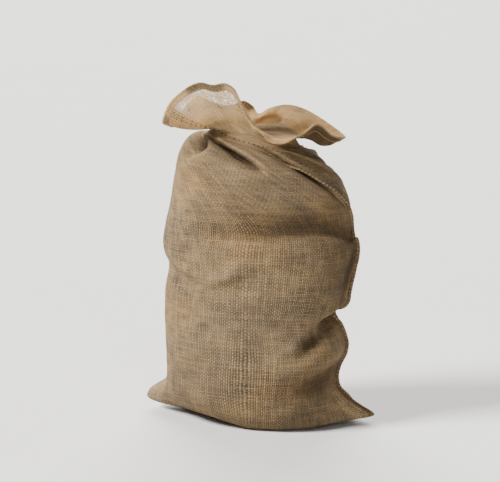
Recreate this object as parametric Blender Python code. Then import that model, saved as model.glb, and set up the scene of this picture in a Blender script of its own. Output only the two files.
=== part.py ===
"""Jute sack: filled, twisted shut at the neck, its mouth left standing open as a wavy collar.

The sack is one length of hessian, folded at its left side and sewn up the right side and along
the bottom, with the allowance outside.  Its filled body is a loft of flattened oval sections.
Half a turn of twist gathers the neck, so the side seam climbs the right side, crosses the front
of the neck and ends at the collar's left tip.  Above the neck the solid is a thin cloth wall
round an open mouth.

Metres, +Z up, origin under the middle of the box that holds the sack.  The tables are in
millimetres and degrees.
"""
import bmesh
import bpy
import numpy as np

MM = 0.001

# Driving dimensions, millimetres
FLAT_WIDTH = 500.0          # half the girth of the cloth, laid flat
CLOTH = 2.6                 # wall of the collar: hessian with its nap
SEAM_WIDTH = 8.0            # allowance that stands outside the side seam
SEAM_THICKNESS = 3.0        # its two layers
SEAM_LEAN = 42.0            # degrees by which it lies over towards the front, on the shoulder
SEAM_AT_NECK = 4.5          # what shows of it where the twist grips it
HEM_WIDTH = 12.0            # mouth hem, turned to the outside
HEM_RAISE = 1.3             # how far its turned edge stands off the wall
POCKET_FLOOR = 0.26         # share of the collar wall at which the twist closes the mouth
MOUTH_LENGTH = 190.0        # half sizes of the oval that says which way the mouth's folds stand out
MOUTH_DEPTH = 62.0

# Where the seam's allowance changes, as shares of the way up the body
SEAM_FULL_WIDTH = 0.04      # it reaches its width just above the bottom corner
SEAM_LEVEL_BELOW = 0.10     # it sticks out level round that corner
SEAM_LEAN_FROM = 0.60       # it starts to lie over
SEAM_LEAN_RAMP = 0.12
NECK_GRIP = 0.14            # reach of the twist's grip below and above the neck

# Mesh density
COLUMNS = 64                # cloth columns round the girth, without the seam's own
BODY_ROWS = 38
COLLAR_ROWS = 11

# Filled body, one row a section.  The seam side is +X, the front -Y.
# along: share of the way up the cloth.  tilt: rise from the middle to the seam side.
# squareness: 2 is an ellipse.  twist: turn of the cloth round the sack, degrees.
# corner_lift: how far the front left corner hangs clear of the floor.
BODY_COLUMNS = ("along", "height", "tilt", "left", "right", "front", "back",
                "squareness", "twist", "left_ear", "right_ear", "corner_lift")
BODY = (
    (0.00,   0,   0,  78, 160,  77,  76, 2.20,    0,  0,  0,  0),
    (0.02,   5,   0, 150, 182,  98,  97, 2.20,    0, 22, 14, 16),
    (0.05,  20,   0, 184, 185, 109, 108, 2.30,    0, 60, 66, 12),
    (0.08,  42,   0, 195, 182, 116, 112, 2.40,    0, 51, 36,  7),
    (0.12,  75,   0, 200, 178, 118, 113, 2.50,    0,  5,  5,  2),
    (0.17, 125,   0, 201, 188, 117, 113, 2.50,    0,  0,  0,  0),
    (0.24, 180,   0, 202, 194, 115, 112, 2.40,    0,  0,  0,  0),
    (0.31, 234,   0, 202, 180, 112, 110, 2.30,    0,  0,  0,  0),
    (0.38, 284,   0, 201, 197, 110, 108, 2.30,    0,  0,  0,  0),
    (0.46, 344,   0, 195, 210, 109, 107, 2.30,    0,  0,  0,  0),
    (0.52, 387,   0, 205, 216, 106, 104, 2.30,    0,  0,  0,  0),
    (0.58, 430,   0, 199, 208, 100, 100, 2.30,    0,  0,  0,  0),
    (0.65, 481,   0, 188, 201,  93,  95, 2.25,   -8,  0,  0,  0),
    (0.72, 530,  -4, 180, 184,  86,  88, 2.20,  -27,  0,  0,  0),
    (0.78, 572,  -9, 170, 156,  77,  79, 2.20,  -47,  0,  0,  0),
    (0.83, 600, -13, 154, 127,  66,  68, 2.10,  -67,  0,  0,  0),
    (0.88, 614, -14, 134, 108,  56,  58, 2.10,  -92,  0,  0,  0),
    (0.94, 618, -12, 112,  93,  49,  50, 2.00, -122,  0,  0,  0),
    (1.00, 629,  -9,  96,  84,  45,  46, 2.00, -150,  0,  0,  0),
)
EAR_SPREAD = 17.0           # degrees round the section over which a bottom corner is drawn out

# Edge of the mouth, one row a crest or trough, round the cloth from the seam's tip by the back
# wall to the left-side fold and home by the front wall.  across: along the mouth's length.
# behind: away from the front.  The mouth's length is turned from +X by MOUTH_TURN.
MOUTH_TURN = 12.0
RIM_COLUMNS = ("share", "across", "behind", "height")
RIM = (
    (0.000, -196,  -52,  660),
    (0.035, -169,  -22,  663),
    (0.075, -145,   10,  689),
    (0.110, -125,   26,  703),
    (0.160,  -91,   38,  688),
    (0.200,  -55,   48,  681),
    (0.235,  -27,   62,  689),
    (0.262,   -8,   72,  676),
    (0.290,    3,   52,  663),
    (0.325,   28,   46,  675),
    (0.365,   63,   58,  680),
    (0.410,  104,   56,  671),
    (0.455,  149,   28,  648),
    (0.500,  186,  -15,  623),
    (0.540,  158,  -46,  631),
    (0.580,  125,  -68,  658),
    (0.620,   96,  -88,  644),
    (0.660,   57, -100,  624),
    (0.695,   30,  -96,  624),
    (0.730,   10,  -84,  640),
    (0.762,  -13,  -70,  658),
    (0.802,  -35,  -60,  700),
    (0.837,  -48,  -55,  730),
    (0.860,  -66,  -59,  741),
    (0.883,  -90,  -64,  738),
    (0.910, -118,  -66,  743),
    (0.945, -154,  -64,  725),
    (0.975, -183,  -58,  696),
)

# Folds of the collar wall, one row a fold: how far the wall stands off the straight line from
# the neck to the edge, a third and two thirds of the way up.
WALL_COLUMNS = ("share", "low_out", "low_up", "high_out", "high_up")
WALL = (
    (0.00,   8,  -5,   6,  -6),
    (0.05,   5,  -6,   3,  -2),
    (0.10,   4,  -4,   2,   0),
    (0.20,   6,  -4,   2,   0),
    (0.27,   8,  -6,  -8,   0),
    (0.325,  8,  -6, -26,   6),
    (0.365, 12,  -6, -26,   2),
    (0.395, -18,  8, -34,   4),
    (0.43, -24,   8, -34,   4),
    (0.465, -8,   0, -12,   0),
    (0.50,   8,  -5,   6, -12),
    (0.55,  14,  -7,  12, -20),
    (0.60,  12,  -5,   6, -13),
    (0.65,   4,   2,   2,   4),
    (0.71,   2,   2,   0,   2),
    (0.78,   2,   0,  -3,   0),
    (0.90,   2,   0,  -4,   0),
    (0.95,   5,  -5,   0,  -2),
)

# Folds of the filled body, one row a fold, along a line over the cloth of share and along.  left
# and right: half widths on each side of that line, for someone who walks it on the outer face.
# rise: positive for a ridge, negative for a trough.
FOLD_COLUMNS = ("left", "right", "rise", "line")
FOLDS = (
    # front, across the middle: slack, crease and the bulge under it
    (40, 13, -10.0, ((0.315, 0.566), (0.199, 0.575), (0.082, 0.574), (0.020, 0.556))),
    (26, 34,   4.0, ((0.300, 0.525), (0.035, 0.530))),
    (14, 22,   5.0, ((0.430, 0.598), (0.300, 0.562))),
    # left side: waist under the upper bulge, and the fold that rises from its end
    (14, 24,  -5.5, ((0.455, 0.468), (0.365, 0.438), (0.315, 0.417))),
    (15, 18,   4.0, ((0.312, 0.431), (0.250, 0.490))),
    # right side: notch and the hollow below it
    (17, 16, -22.0, ((-0.050, 0.330), (0.032, 0.322), (0.118, 0.296))),
    (15, 14,  -8.0, ((0.100, 0.280), (0.160, 0.236))),
    # right: trough over the bottom corner
    (18, 26,  -9.0, ((-0.040, 0.147), (0.040, 0.155), (0.105, 0.152), (0.180, 0.132))),
    (22, 22,  -3.0, ((0.340, 0.195), (0.240, 0.245))),
    # slit under the twist, and the pocket at the left shoulder
    (14, 30, -14.0, ((0.066, 0.900), (0.105, 0.845), (0.110, 0.785))),
    (14, 24, -12.0, ((0.155, 0.880), (0.202, 0.826), (0.240, 0.803))),
    (18, 18,   4.5, ((0.088, 0.800), (0.205, 0.690))),
    # trough in front of the side seam, where it crosses the shoulder
    (10, 26,  -9.0, ((-0.025, 0.885), (0.002, 0.800), (0.008, 0.680))),
    # back: slack across the middle, gathers falling from the neck, soft dents
    (20, 26,  -6.0, ((0.560, 0.580), (0.760, 0.600))),
    (18, 20,  -8.0, ((0.620, 0.860), (0.600, 0.700))),
    (18, 18,   6.0, ((0.760, 0.860), (0.735, 0.715))),
    (20, 18,  -7.0, ((0.860, 0.850), (0.800, 0.680))),
    (24, 20,  -5.0, ((0.580, 0.305), (0.760, 0.275))),
    (18, 22,  -6.0, ((0.880, 0.440), (0.960, 0.325))),
)
FOLD_CLOTH = np.array([2 * FLAT_WIDTH, 740.0])   # cloth round the girth and up to the neck
FOLD_END = 0.08             # share of a fold's length at each end where it stops fading
FOLD_FULLNESS = 0.7         # under 1, a fold keeps its depth for more of its length
FOLDS_FROM = 0.03           # shares of the way up at which folds start over the flat bottom,
FOLDS_FULL = 0.09           # reach their full depth
FOLDS_GRIPPED = 0.08        # and fade below the neck
STEP = 0.004                # step along the cloth for reading its direction


def between_rows(columns, table, at, cyclic=False):
    """Smooth curve through a table's rows, read at each value of its first column.

    A cyclic table's first column runs once round, from 0 to 1.  Gives a dictionary of arrays, one
    for each later column.
    """
    knots = np.array([row[0] for row in table], float)
    values = np.array([row[1:] for row in table], float)
    at = np.asarray(at, float)
    if cyclic:
        knots = np.concatenate([knots[-2:] - 1, knots, knots[:3] + 1])
        values = np.concatenate([values[-2:], values, values[:3]])
        at = at % 1.0
    step = np.diff(knots)[:, None]
    slope = np.diff(values, axis=0) / step
    tangent = np.empty_like(values)
    tangent[1:-1] = (slope[:-1] * step[1:] + slope[1:] * step[:-1]) / (step[1:] + step[:-1])
    tangent[0], tangent[-1] = slope[0], slope[-1]
    row = np.clip(np.searchsorted(knots, at, side="right") - 1, 0, len(knots) - 2)
    width = (knots[row + 1] - knots[row])[..., None]
    here = (at - knots[row])[..., None] / width
    curve = hermite(values[row], values[row + 1],
                    width * tangent[row], width * tangent[row + 1], here)
    return {name: curve[..., k] for k, name in enumerate(columns[1:])}


def hermite(start, end, leave, arrive, here):
    """Cubic from start to end with the given tangents."""
    return ((2 * here**3 - 3 * here**2 + 1) * start + (here**3 - 2 * here**2 + here) * leave
            + (-2 * here**3 + 3 * here**2) * end + (here**3 - here**2) * arrive)


def body_surface(share, along):
    """Point of the filled body's skin, for the share round the girth and along the cloth."""
    row = between_rows(BODY_COLUMNS, BODY, along)
    angle = np.radians(row["twist"]) - 2 * np.pi * share
    cosine, sine = np.cos(angle), np.sin(angle)
    power = 2 / row["squareness"]
    across = np.sign(cosine) * np.abs(cosine) ** power
    behind = np.sign(sine) * np.abs(sine) ** power
    side = np.where(cosine > 0, row["right"], row["left"])
    face = np.where(sine > 0, row["back"], row["front"])
    off_corner = np.degrees(np.arctan2(np.abs(sine), np.abs(cosine))) / EAR_SPREAD
    ear = np.where(cosine > 0, row["right_ear"], -row["left_ear"]) * np.exp(-off_corner**2)
    height = row["height"] + row["tilt"] * across
    height += row["corner_lift"] * 2 * np.clip(-across, 0, 1) * np.clip(-behind, 0, 1)
    return np.stack([across * side + ear, behind * face, height], -1)


def turned(points, degrees):
    """Points turned about +Z."""
    cosine, sine = np.cos(np.radians(degrees)), np.sin(np.radians(degrees))
    x, y, z = points[..., 0], points[..., 1], points[..., 2]
    return np.stack([x * cosine - y * sine, x * sine + y * cosine, z], -1)


def mouth_edge(share):
    """Point of the mouth's edge."""
    row = between_rows(RIM_COLUMNS, RIM, share, cyclic=True)
    return turned(np.stack([row["across"], row["behind"], row["height"]], -1), MOUTH_TURN)


def collar_surface(share, up):
    """Point of the collar's outer face, from the neck (up 0) to the mouth's edge (up 1)."""
    neck = body_surface(share, np.ones_like(share))
    below = body_surface(share, np.full_like(share, BODY[-2][0]))
    edge = mouth_edge(share)
    fold = between_rows(WALL_COLUMNS, WALL, share, cyclic=True)
    middle = turned((neck + edge) / 2, -MOUTH_TURN)
    out = np.stack([middle[..., 0] / MOUTH_LENGTH**2, middle[..., 1] / MOUTH_DEPTH**2,
                    np.zeros_like(share)], -1)
    out = turned(out / np.linalg.norm(out, axis=-1)[..., None], MOUTH_TURN)

    def stand_off(level, name):
        lift = fold[name + "_up"][..., None] * np.array([0.0, 0.0, 1.0])
        return neck + (edge - neck) * level + out * fold[name + "_out"][..., None] + lift

    low, high = stand_off(1 / 3, "low"), stand_off(2 / 3, "high")
    path = (below, neck, low, high, edge, 2 * edge - high)
    reach = np.clip(up, 0, 1) * 3
    point = np.zeros(neck.shape)
    for k in range(3):
        start, end = path[k + 1], path[k + 2]
        leave, arrive = (end - path[k]) / 2, (path[k + 3] - start) / 2
        part = hermite(start, end, leave, arrive, np.clip(reach - k, 0, 1)[..., None])
        point = np.where(((reach >= k) & (reach <= k + 1))[..., None], part, point)
    return point


def fold_height(share, along):
    """How far the folds lift or sink the body's skin."""
    lift = np.zeros_like(share)
    for left, right, rise, line in FOLDS:
        line = np.array(line) * FOLD_CLOTH
        runs = np.diff(line, axis=0)
        sizes = np.linalg.norm(runs, axis=1)
        reach = np.cumsum(sizes) - sizes
        turn = (share - line[0, 0] / FOLD_CLOTH[0] + 0.5) % 1.0 - 0.5
        point = np.stack([line[0, 0] + turn * FOLD_CLOTH[0], along * FOLD_CLOTH[1]], -1)
        nearest = np.full(share.shape, np.inf)
        place, side = np.zeros_like(share), np.zeros_like(share)
        for start, run, size, before in zip(line, runs, sizes, reach):
            offset = point - start
            way = np.clip((offset @ run) / size**2, 0, 1)
            away = np.linalg.norm(offset - way[..., None] * run, axis=-1)
            closer = away < nearest
            nearest = np.where(closer, away, nearest)
            place = np.where(closer, (before + way * size) / sizes.sum(), place)
            side = np.where(closer, offset[..., 0] * run[1] - offset[..., 1] * run[0], side)
        fade = np.sin(np.pi * np.clip(place, FOLD_END, 1 - FOLD_END)) ** FOLD_FULLNESS
        lift += rise * fade * np.exp(-(nearest / np.where(side > 0, left, right)) ** 2)
    return lift


def outward(share, along):
    """Direction straight out of the body's smooth surface."""
    round_run = body_surface(share + STEP, along) - body_surface(share - STEP, along)
    up_run = (body_surface(share, np.minimum(along + STEP, 1))
              - body_surface(share, np.maximum(along - STEP, 0)))
    out = np.cross(up_run, round_run)
    return out / np.linalg.norm(out, axis=-1)[..., None]


def skin(share, along):
    """Point of the sack's outer face: the body up to along 1, then the collar up to 2."""
    share, along = np.broadcast_arrays(np.asarray(share, float), np.asarray(along, float))
    up = np.clip(along, 0, 1)
    shown = (np.clip((up - FOLDS_FROM) / (FOLDS_FULL - FOLDS_FROM), 0, 1)
             * np.clip((1 - up) / FOLDS_GRIPPED, 0, 1))
    body = body_surface(share, up)
    body += outward(share, up) * (fold_height(share, up) * shown)[..., None]
    collar = collar_surface(share, along - 1)
    return np.where((along > 1)[..., None], collar, body)


# --- mesh -------------------------------------------------------------------------------------

def skin_normals(share, along, reach=0.012):
    """Unit normals of the skin, pointing out, read over a short reach of cloth."""
    round_run = skin(share + reach, along) - skin(share - reach, along)
    up_run = skin(share, along + STEP) - skin(share, along - STEP)
    normal = np.cross(up_run, round_run)
    return normal / np.linalg.norm(normal, axis=-1)[..., None]


def body_rows():
    """Shares of the way up the body at which it has a ring of points."""
    foot = [0.0, 0.02, 0.035, 0.05, 0.08]
    return np.concatenate([foot, np.linspace(0.12, 1.0, BODY_ROWS - len(foot))])


def wall_length(share):
    """Length of the collar wall from the neck to the mouth's edge."""
    ups = np.linspace(0, 1, 33)
    points = np.stack([collar_surface(share, np.full_like(share, up)) for up in ups])
    return np.linalg.norm(np.diff(points, axis=0), axis=-1).sum(0)


def collar_rows(share):
    """Ring of shares up the collar for each row: (up, raise of the hem), hem rows last."""
    hem = HEM_WIDTH / wall_length(share)
    rows = [((1 - hem) * up, 0.0) for up in np.linspace(0, 1, COLLAR_ROWS)[1:]]
    return rows + [(1 - 0.85 * hem, HEM_RAISE), (np.ones_like(share), HEM_RAISE)]


def seam_rows(along):
    """The seam's allowance at each height: its tips' direction out and its line round the cloth."""
    zero = np.zeros_like(along)
    foot = SEAM_THICKNESS / FLAT_WIDTH
    run = skin(zero + foot, along) - skin(zero - foot, along)
    run /= np.linalg.norm(run, axis=-1)[:, None]
    out = skin_normals(zero, along)
    lean = (np.clip((along - SEAM_LEAN_FROM) / SEAM_LEAN_RAMP, 0, 1)
            * np.clip((1 - along) / SEAM_LEAN_RAMP, 0, 1))
    lean = np.radians(SEAM_LEAN) * lean[:, None]
    out = out * np.cos(lean) + run * np.sin(lean)
    for _ in range(2):
        out[1:-1] = (out[:-2] + 2 * out[1:-1] + out[2:]) / 4
    out[:, 2] = np.where(along < SEAM_LEVEL_BELOW, 0.0, out[:, 2])
    return out / np.linalg.norm(out, axis=-1)[:, None], run


def seam_points(along, lift):
    """Points of the allowance at each height: back foot, back tip, front tip, front foot."""
    out, run = seam_rows(along)
    foot = 0.75 * SEAM_THICKNESS / (2 * FLAT_WIDTH)
    width = SEAM_WIDTH * np.clip(0.2 + 0.8 * along / SEAM_FULL_WIDTH, 0, 1)
    width -= (SEAM_WIDTH - SEAM_AT_NECK) * np.clip(1 - np.abs(along - 1) / NECK_GRIP, 0, 1)
    zero = np.zeros_like(along)
    tip = skin(zero, along) + out * width[:, None]
    half = run * SEAM_THICKNESS / 2
    raised = out * lift[:, None]
    back, front = skin(zero - foot, along) + raised, skin(zero + foot, along) + raised
    return np.stack([back, tip - half, tip + half, front], axis=1)


def outer_rings():
    """Rings of the outer face, bottom to mouth; each starts after the seam and ends before it."""
    share = np.arange(1, COLUMNS) / COLUMNS
    body = body_rows()
    rows = collar_rows(share)
    rings = [skin(share, np.full_like(share, along)) for along in body]
    rings += [skin(share, 1 + up) + skin_normals(share, 1 + up) * lift for up, lift in rows]
    seam_along = [1 + up[0] for up, _ in collar_rows(np.zeros(1))]
    lift = np.concatenate([np.zeros_like(body), [lift for _, lift in rows]])
    seam = seam_points(np.concatenate([body, seam_along]), lift)
    return [np.concatenate([feet[2:], ring, feet[:2]]) for ring, feet in zip(rings, seam)]


def inner_rings():
    """Rings of the collar's inner face, mouth to pocket floor, starting on the seam."""
    share = np.arange(COLUMNS) / COLUMNS
    inset = np.full(COLUMNS, CLOTH)
    inset[0] += SEAM_THICKNESS
    rings = []
    for up, _ in reversed(collar_rows(share)):
        if np.min(up) >= POCKET_FLOOR:
            rings.append(skin(share, 1 + up) - skin_normals(share, 1 + up) * inset[:, None])
    return rings


def ring_faces(low, high):
    """Quads between two closed rings of points."""
    return [(low[k], low[(k + 1) % len(low)], high[(k + 1) % len(high)], high[k])
            for k in range(len(low))]


def sack_mesh():
    """The sack as one closed loft: flat bottom, outer face, mouth edge, inner face, pocket floor."""
    mesh = bmesh.new()

    def add(ring):
        return [mesh.verts.new(point * MM) for point in ring]

    outer = [add(ring) for ring in outer_rings()]
    inner = [add(ring) for ring in inner_rings()]
    faces = [tuple(reversed(outer[0]))]
    for low, high in zip(outer, outer[1:]):
        faces += ring_faces(low, high)
    faces += mouth_faces(outer[-1], inner[0])
    for high, low in zip(inner, inner[1:]):
        faces += ring_faces(high, low)
    floor = mesh.verts.new(np.mean([vert.co for vert in inner[-1]], axis=0))
    last = inner[-1]
    faces += [(last[k], last[(k + 1) % COLUMNS], floor) for k in range(COLUMNS)]
    for corners in faces:
        mesh.faces.new(corners[::-1])       # the rings run clockwise, seen from above
    bmesh.ops.triangulate(mesh, faces=mesh.faces[:])
    points = np.array([vert.co for vert in mesh.verts])
    middle = (points.min(0) + points.max(0)) / 2
    bmesh.ops.translate(mesh, verts=mesh.verts, vec=(-middle[0], -middle[1], -points[:, 2].min()))
    return mesh


def mouth_faces(outer, inner):
    """Edge of the mouth, from the outer ring with its seam points to the inner ring."""
    front_tip, front_foot, *ring, back_foot, back_tip = outer
    faces = [(front_tip, front_foot, back_foot, back_tip),
             (front_foot, inner[0], back_foot),
             (front_foot, ring[0], inner[1], inner[0]),
             (ring[-1], back_foot, inner[0], inner[-1])]
    return faces + [(ring[k], ring[k + 1], inner[k + 2], inner[k + 1]) for k in range(len(ring) - 1)]


def cloth_material():
    """Natural jute hessian."""
    material = bpy.data.materials.new("Jute_hessian")
    material.use_nodes = True
    shader = material.node_tree.nodes["Principled BSDF"]
    shader.inputs["Base Color"].default_value = (0.42, 0.29, 0.16, 1.0)
    shader.inputs["Roughness"].default_value = 0.92
    shader.inputs["Metallic"].default_value = 0.0
    material.diffuse_color = (0.42, 0.29, 0.16, 1.0)
    return material


def main():
    """Model the sack."""
    for thing in list(bpy.data.objects):
        bpy.data.objects.remove(thing, do_unlink=True)
    collection = bpy.data.collections.new("Jute_sack")
    bpy.context.scene.collection.children.link(collection)
    data = bpy.data.meshes.new("sack")
    shape = sack_mesh()
    shape.to_mesh(data)
    shape.free()
    data.materials.append(cloth_material())
    sack = bpy.data.objects.new("sack", data)
    collection.objects.link(sack)
    data.shade_smooth()


if __name__ == "__main__":
    main()
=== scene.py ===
"""Looks of the jute sack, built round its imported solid.

One length of hessian, folded at its left side and sewn up the right side and along the bottom, is
filled, twisted shut at the neck and left with its mouth standing open as a wavy collar.  The cloth
is one thin closed shell on the solid's own surface, with finer creases, and the mouth's hem is part
of it.  The side seam's allowance and the sewing are pieces on it.

Metres, +Z up, origin under the middle of the sack, seam side +X, front -Y.  The tables of the
form are in millimetres and degrees.
"""

import logging
import math
from dataclasses import dataclass
from enum import Enum

import bmesh
import bpy
import numpy as np
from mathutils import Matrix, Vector, noise

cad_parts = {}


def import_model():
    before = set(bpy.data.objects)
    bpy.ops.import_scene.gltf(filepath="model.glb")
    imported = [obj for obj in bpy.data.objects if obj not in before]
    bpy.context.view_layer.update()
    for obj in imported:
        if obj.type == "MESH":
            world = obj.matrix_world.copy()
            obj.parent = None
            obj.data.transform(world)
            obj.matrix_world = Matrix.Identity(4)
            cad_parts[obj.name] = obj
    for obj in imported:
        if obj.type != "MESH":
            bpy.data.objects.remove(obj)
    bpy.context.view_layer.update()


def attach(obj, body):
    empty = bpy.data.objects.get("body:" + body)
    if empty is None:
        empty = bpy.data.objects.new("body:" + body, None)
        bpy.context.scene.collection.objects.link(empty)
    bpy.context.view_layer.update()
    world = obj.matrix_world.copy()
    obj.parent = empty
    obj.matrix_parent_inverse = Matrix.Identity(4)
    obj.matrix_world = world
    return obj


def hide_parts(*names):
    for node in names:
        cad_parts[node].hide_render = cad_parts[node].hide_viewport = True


Array = np.ndarray
Socket = bpy.types.NodeSocket
Material = bpy.types.Material
Piece = bpy.types.Object

LOG = logging.getLogger("jute_sack")
CAD_NODE = "sack"
BODY = "root"

MM = 0.001

# Driving dimensions, millimetres
GIRTH = 1000.0              # cloth round the sack, twice its flat width
CLOTH_LENGTH = 900.0        # cloth from the bottom seam to the mouth
BODY_LENGTH = 740.0         # the part of it below the neck, by which the creases are measured
CLOTH_THICKNESS = 1.5
HEM_WIDTH = 15.0
HEM_RAISE = 1.9             # how far the hem's turned edge stands off the wall
SEAM_THICKNESS = 3.0        # two layers of allowance outside the side seam
MOUTH_TURN = 12.0           # degrees from +X to the mouth's length
MOUTH_LENGTH = 190.0        # half sizes of the oval that says which way the mouth's folds stand out
MOUTH_DEPTH = 62.0
EAR_SPREAD = 17.0           # degrees round the section over which a bottom corner is drawn out
HEM_LIMIT = 0.42            # most of the wall that the hem takes up, and least of its rise there
CRUMPLE_SIZES = ((95.0, 1.0), (42.0, 0.6), (19.0, 0.25))    # size and weight of each sort of fold

# From the tables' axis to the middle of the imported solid's box
RECENTRE = (-6.50, 2.44, 0.0)

# Filled body, one row a section.  along: share of the way up the cloth.  tilt: rise from the
# middle to the seam side.  squareness: 2 is an ellipse.  twist: turn of the cloth, degrees.
# corner_lift: how far the front left corner hangs clear of the floor.
BODY_COLUMNS = ("along", "height", "tilt", "left", "right", "front", "back",
                "squareness", "twist", "left_ear", "right_ear", "corner_lift")
BODY_ROWS = (
    (0.00,   0,   0,  78, 160,  77,  76, 2.20,    0,  0,  0,  0),
    (0.02,   5,   0, 150, 182,  98,  97, 2.20,    0, 22, 14, 16),
    (0.05,  20,   0, 184, 185, 109, 108, 2.30,    0, 60, 66, 12),
    (0.08,  42,   0, 195, 182, 116, 112, 2.40,    0, 51, 36,  7),
    (0.12,  75,   0, 200, 178, 118, 113, 2.50,    0,  5,  5,  2),
    (0.17, 125,   0, 201, 188, 117, 113, 2.50,    0,  0,  0,  0),
    (0.24, 180,   0, 202, 194, 115, 112, 2.40,    0,  0,  0,  0),
    (0.31, 234,   0, 202, 180, 112, 110, 2.30,    0,  0,  0,  0),
    (0.38, 284,   0, 201, 197, 110, 108, 2.30,    0,  0,  0,  0),
    (0.46, 344,   0, 195, 210, 109, 107, 2.30,    0,  0,  0,  0),
    (0.52, 387,   0, 205, 216, 106, 104, 2.30,    0,  0,  0,  0),
    (0.58, 430,   0, 199, 208, 100, 100, 2.30,    0,  0,  0,  0),
    (0.65, 481,   0, 188, 201,  93,  95, 2.25,   -8,  0,  0,  0),
    (0.72, 530,  -4, 180, 184,  86,  88, 2.20,  -27,  0,  0,  0),
    (0.78, 572,  -9, 170, 156,  77,  79, 2.20,  -47,  0,  0,  0),
    (0.83, 600, -13, 154, 127,  66,  68, 2.10,  -67,  0,  0,  0),
    (0.88, 614, -14, 134, 108,  56,  58, 2.10,  -92,  0,  0,  0),
    (0.94, 618, -12, 112,  93,  49,  50, 2.00, -122,  0,  0,  0),
    (1.00, 629,  -9,  96,  84,  45,  46, 2.00, -150,  0,  0,  0),
)

# Edge of the mouth, one row a crest or trough, round the cloth from the seam's tip by the back
# wall to the left-side fold and home by the front wall.
RIM_COLUMNS = ("share", "across", "behind", "height")
RIM_ROWS = (
    (0.000, -196,  -52,  660), (0.035, -169,  -22,  663), (0.075, -145,   10,  689),
    (0.110, -125,   26,  703), (0.160,  -91,   38,  688), (0.200,  -55,   48,  681),
    (0.235,  -27,   62,  689), (0.262,   -8,   72,  676), (0.290,    3,   52,  663),
    (0.325,   28,   46,  675), (0.365,   63,   58,  680), (0.410,  104,   56,  671),
    (0.455,  149,   28,  648), (0.500,  186,  -15,  623), (0.540,  158,  -46,  631),
    (0.580,  125,  -68,  658), (0.620,   96,  -88,  644), (0.660,   57, -100,  624),
    (0.695,   30,  -96,  624), (0.730,   10,  -84,  640), (0.762,  -13,  -70,  658),
    (0.802,  -35,  -60,  700), (0.837,  -48,  -55,  730), (0.860,  -66,  -59,  741),
    (0.883,  -90,  -64,  738), (0.910, -118,  -66,  743), (0.945, -154,  -64,  725),
    (0.975, -183,  -58,  696),
)

# Folds of the collar wall: how far it stands off the straight line from the neck to the edge, a
# third and two thirds of the way up.
WALL_COLUMNS = ("share", "low_out", "low_up", "high_out", "high_up")
WALL_ROWS = (
    (0.00,   8,  -5,   6,  -6), (0.05,   5,  -6,   3,  -2), (0.10,   4,  -4,   2,   0),
    (0.20,   6,  -4,   2,   0), (0.27,   8,  -6,  -8,   0), (0.325,  8,  -6, -26,   6),
    (0.365, 12,  -6, -26,   2), (0.395, -18,  8, -34,   4), (0.43, -24,   8, -34,   4),
    (0.465, -8,   0, -12,   0), (0.50,   8,  -5,   6, -12), (0.55,  14,  -7,  12, -20),
    (0.60,  12,  -5,   6, -13), (0.65,   4,   2,   2,   4), (0.71,   2,   2,   0,   2),
    (0.78,   2,   0,  -3,   0), (0.90,   2,   0,  -4,   0), (0.95,   5,  -5,   0,  -2),
)

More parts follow.
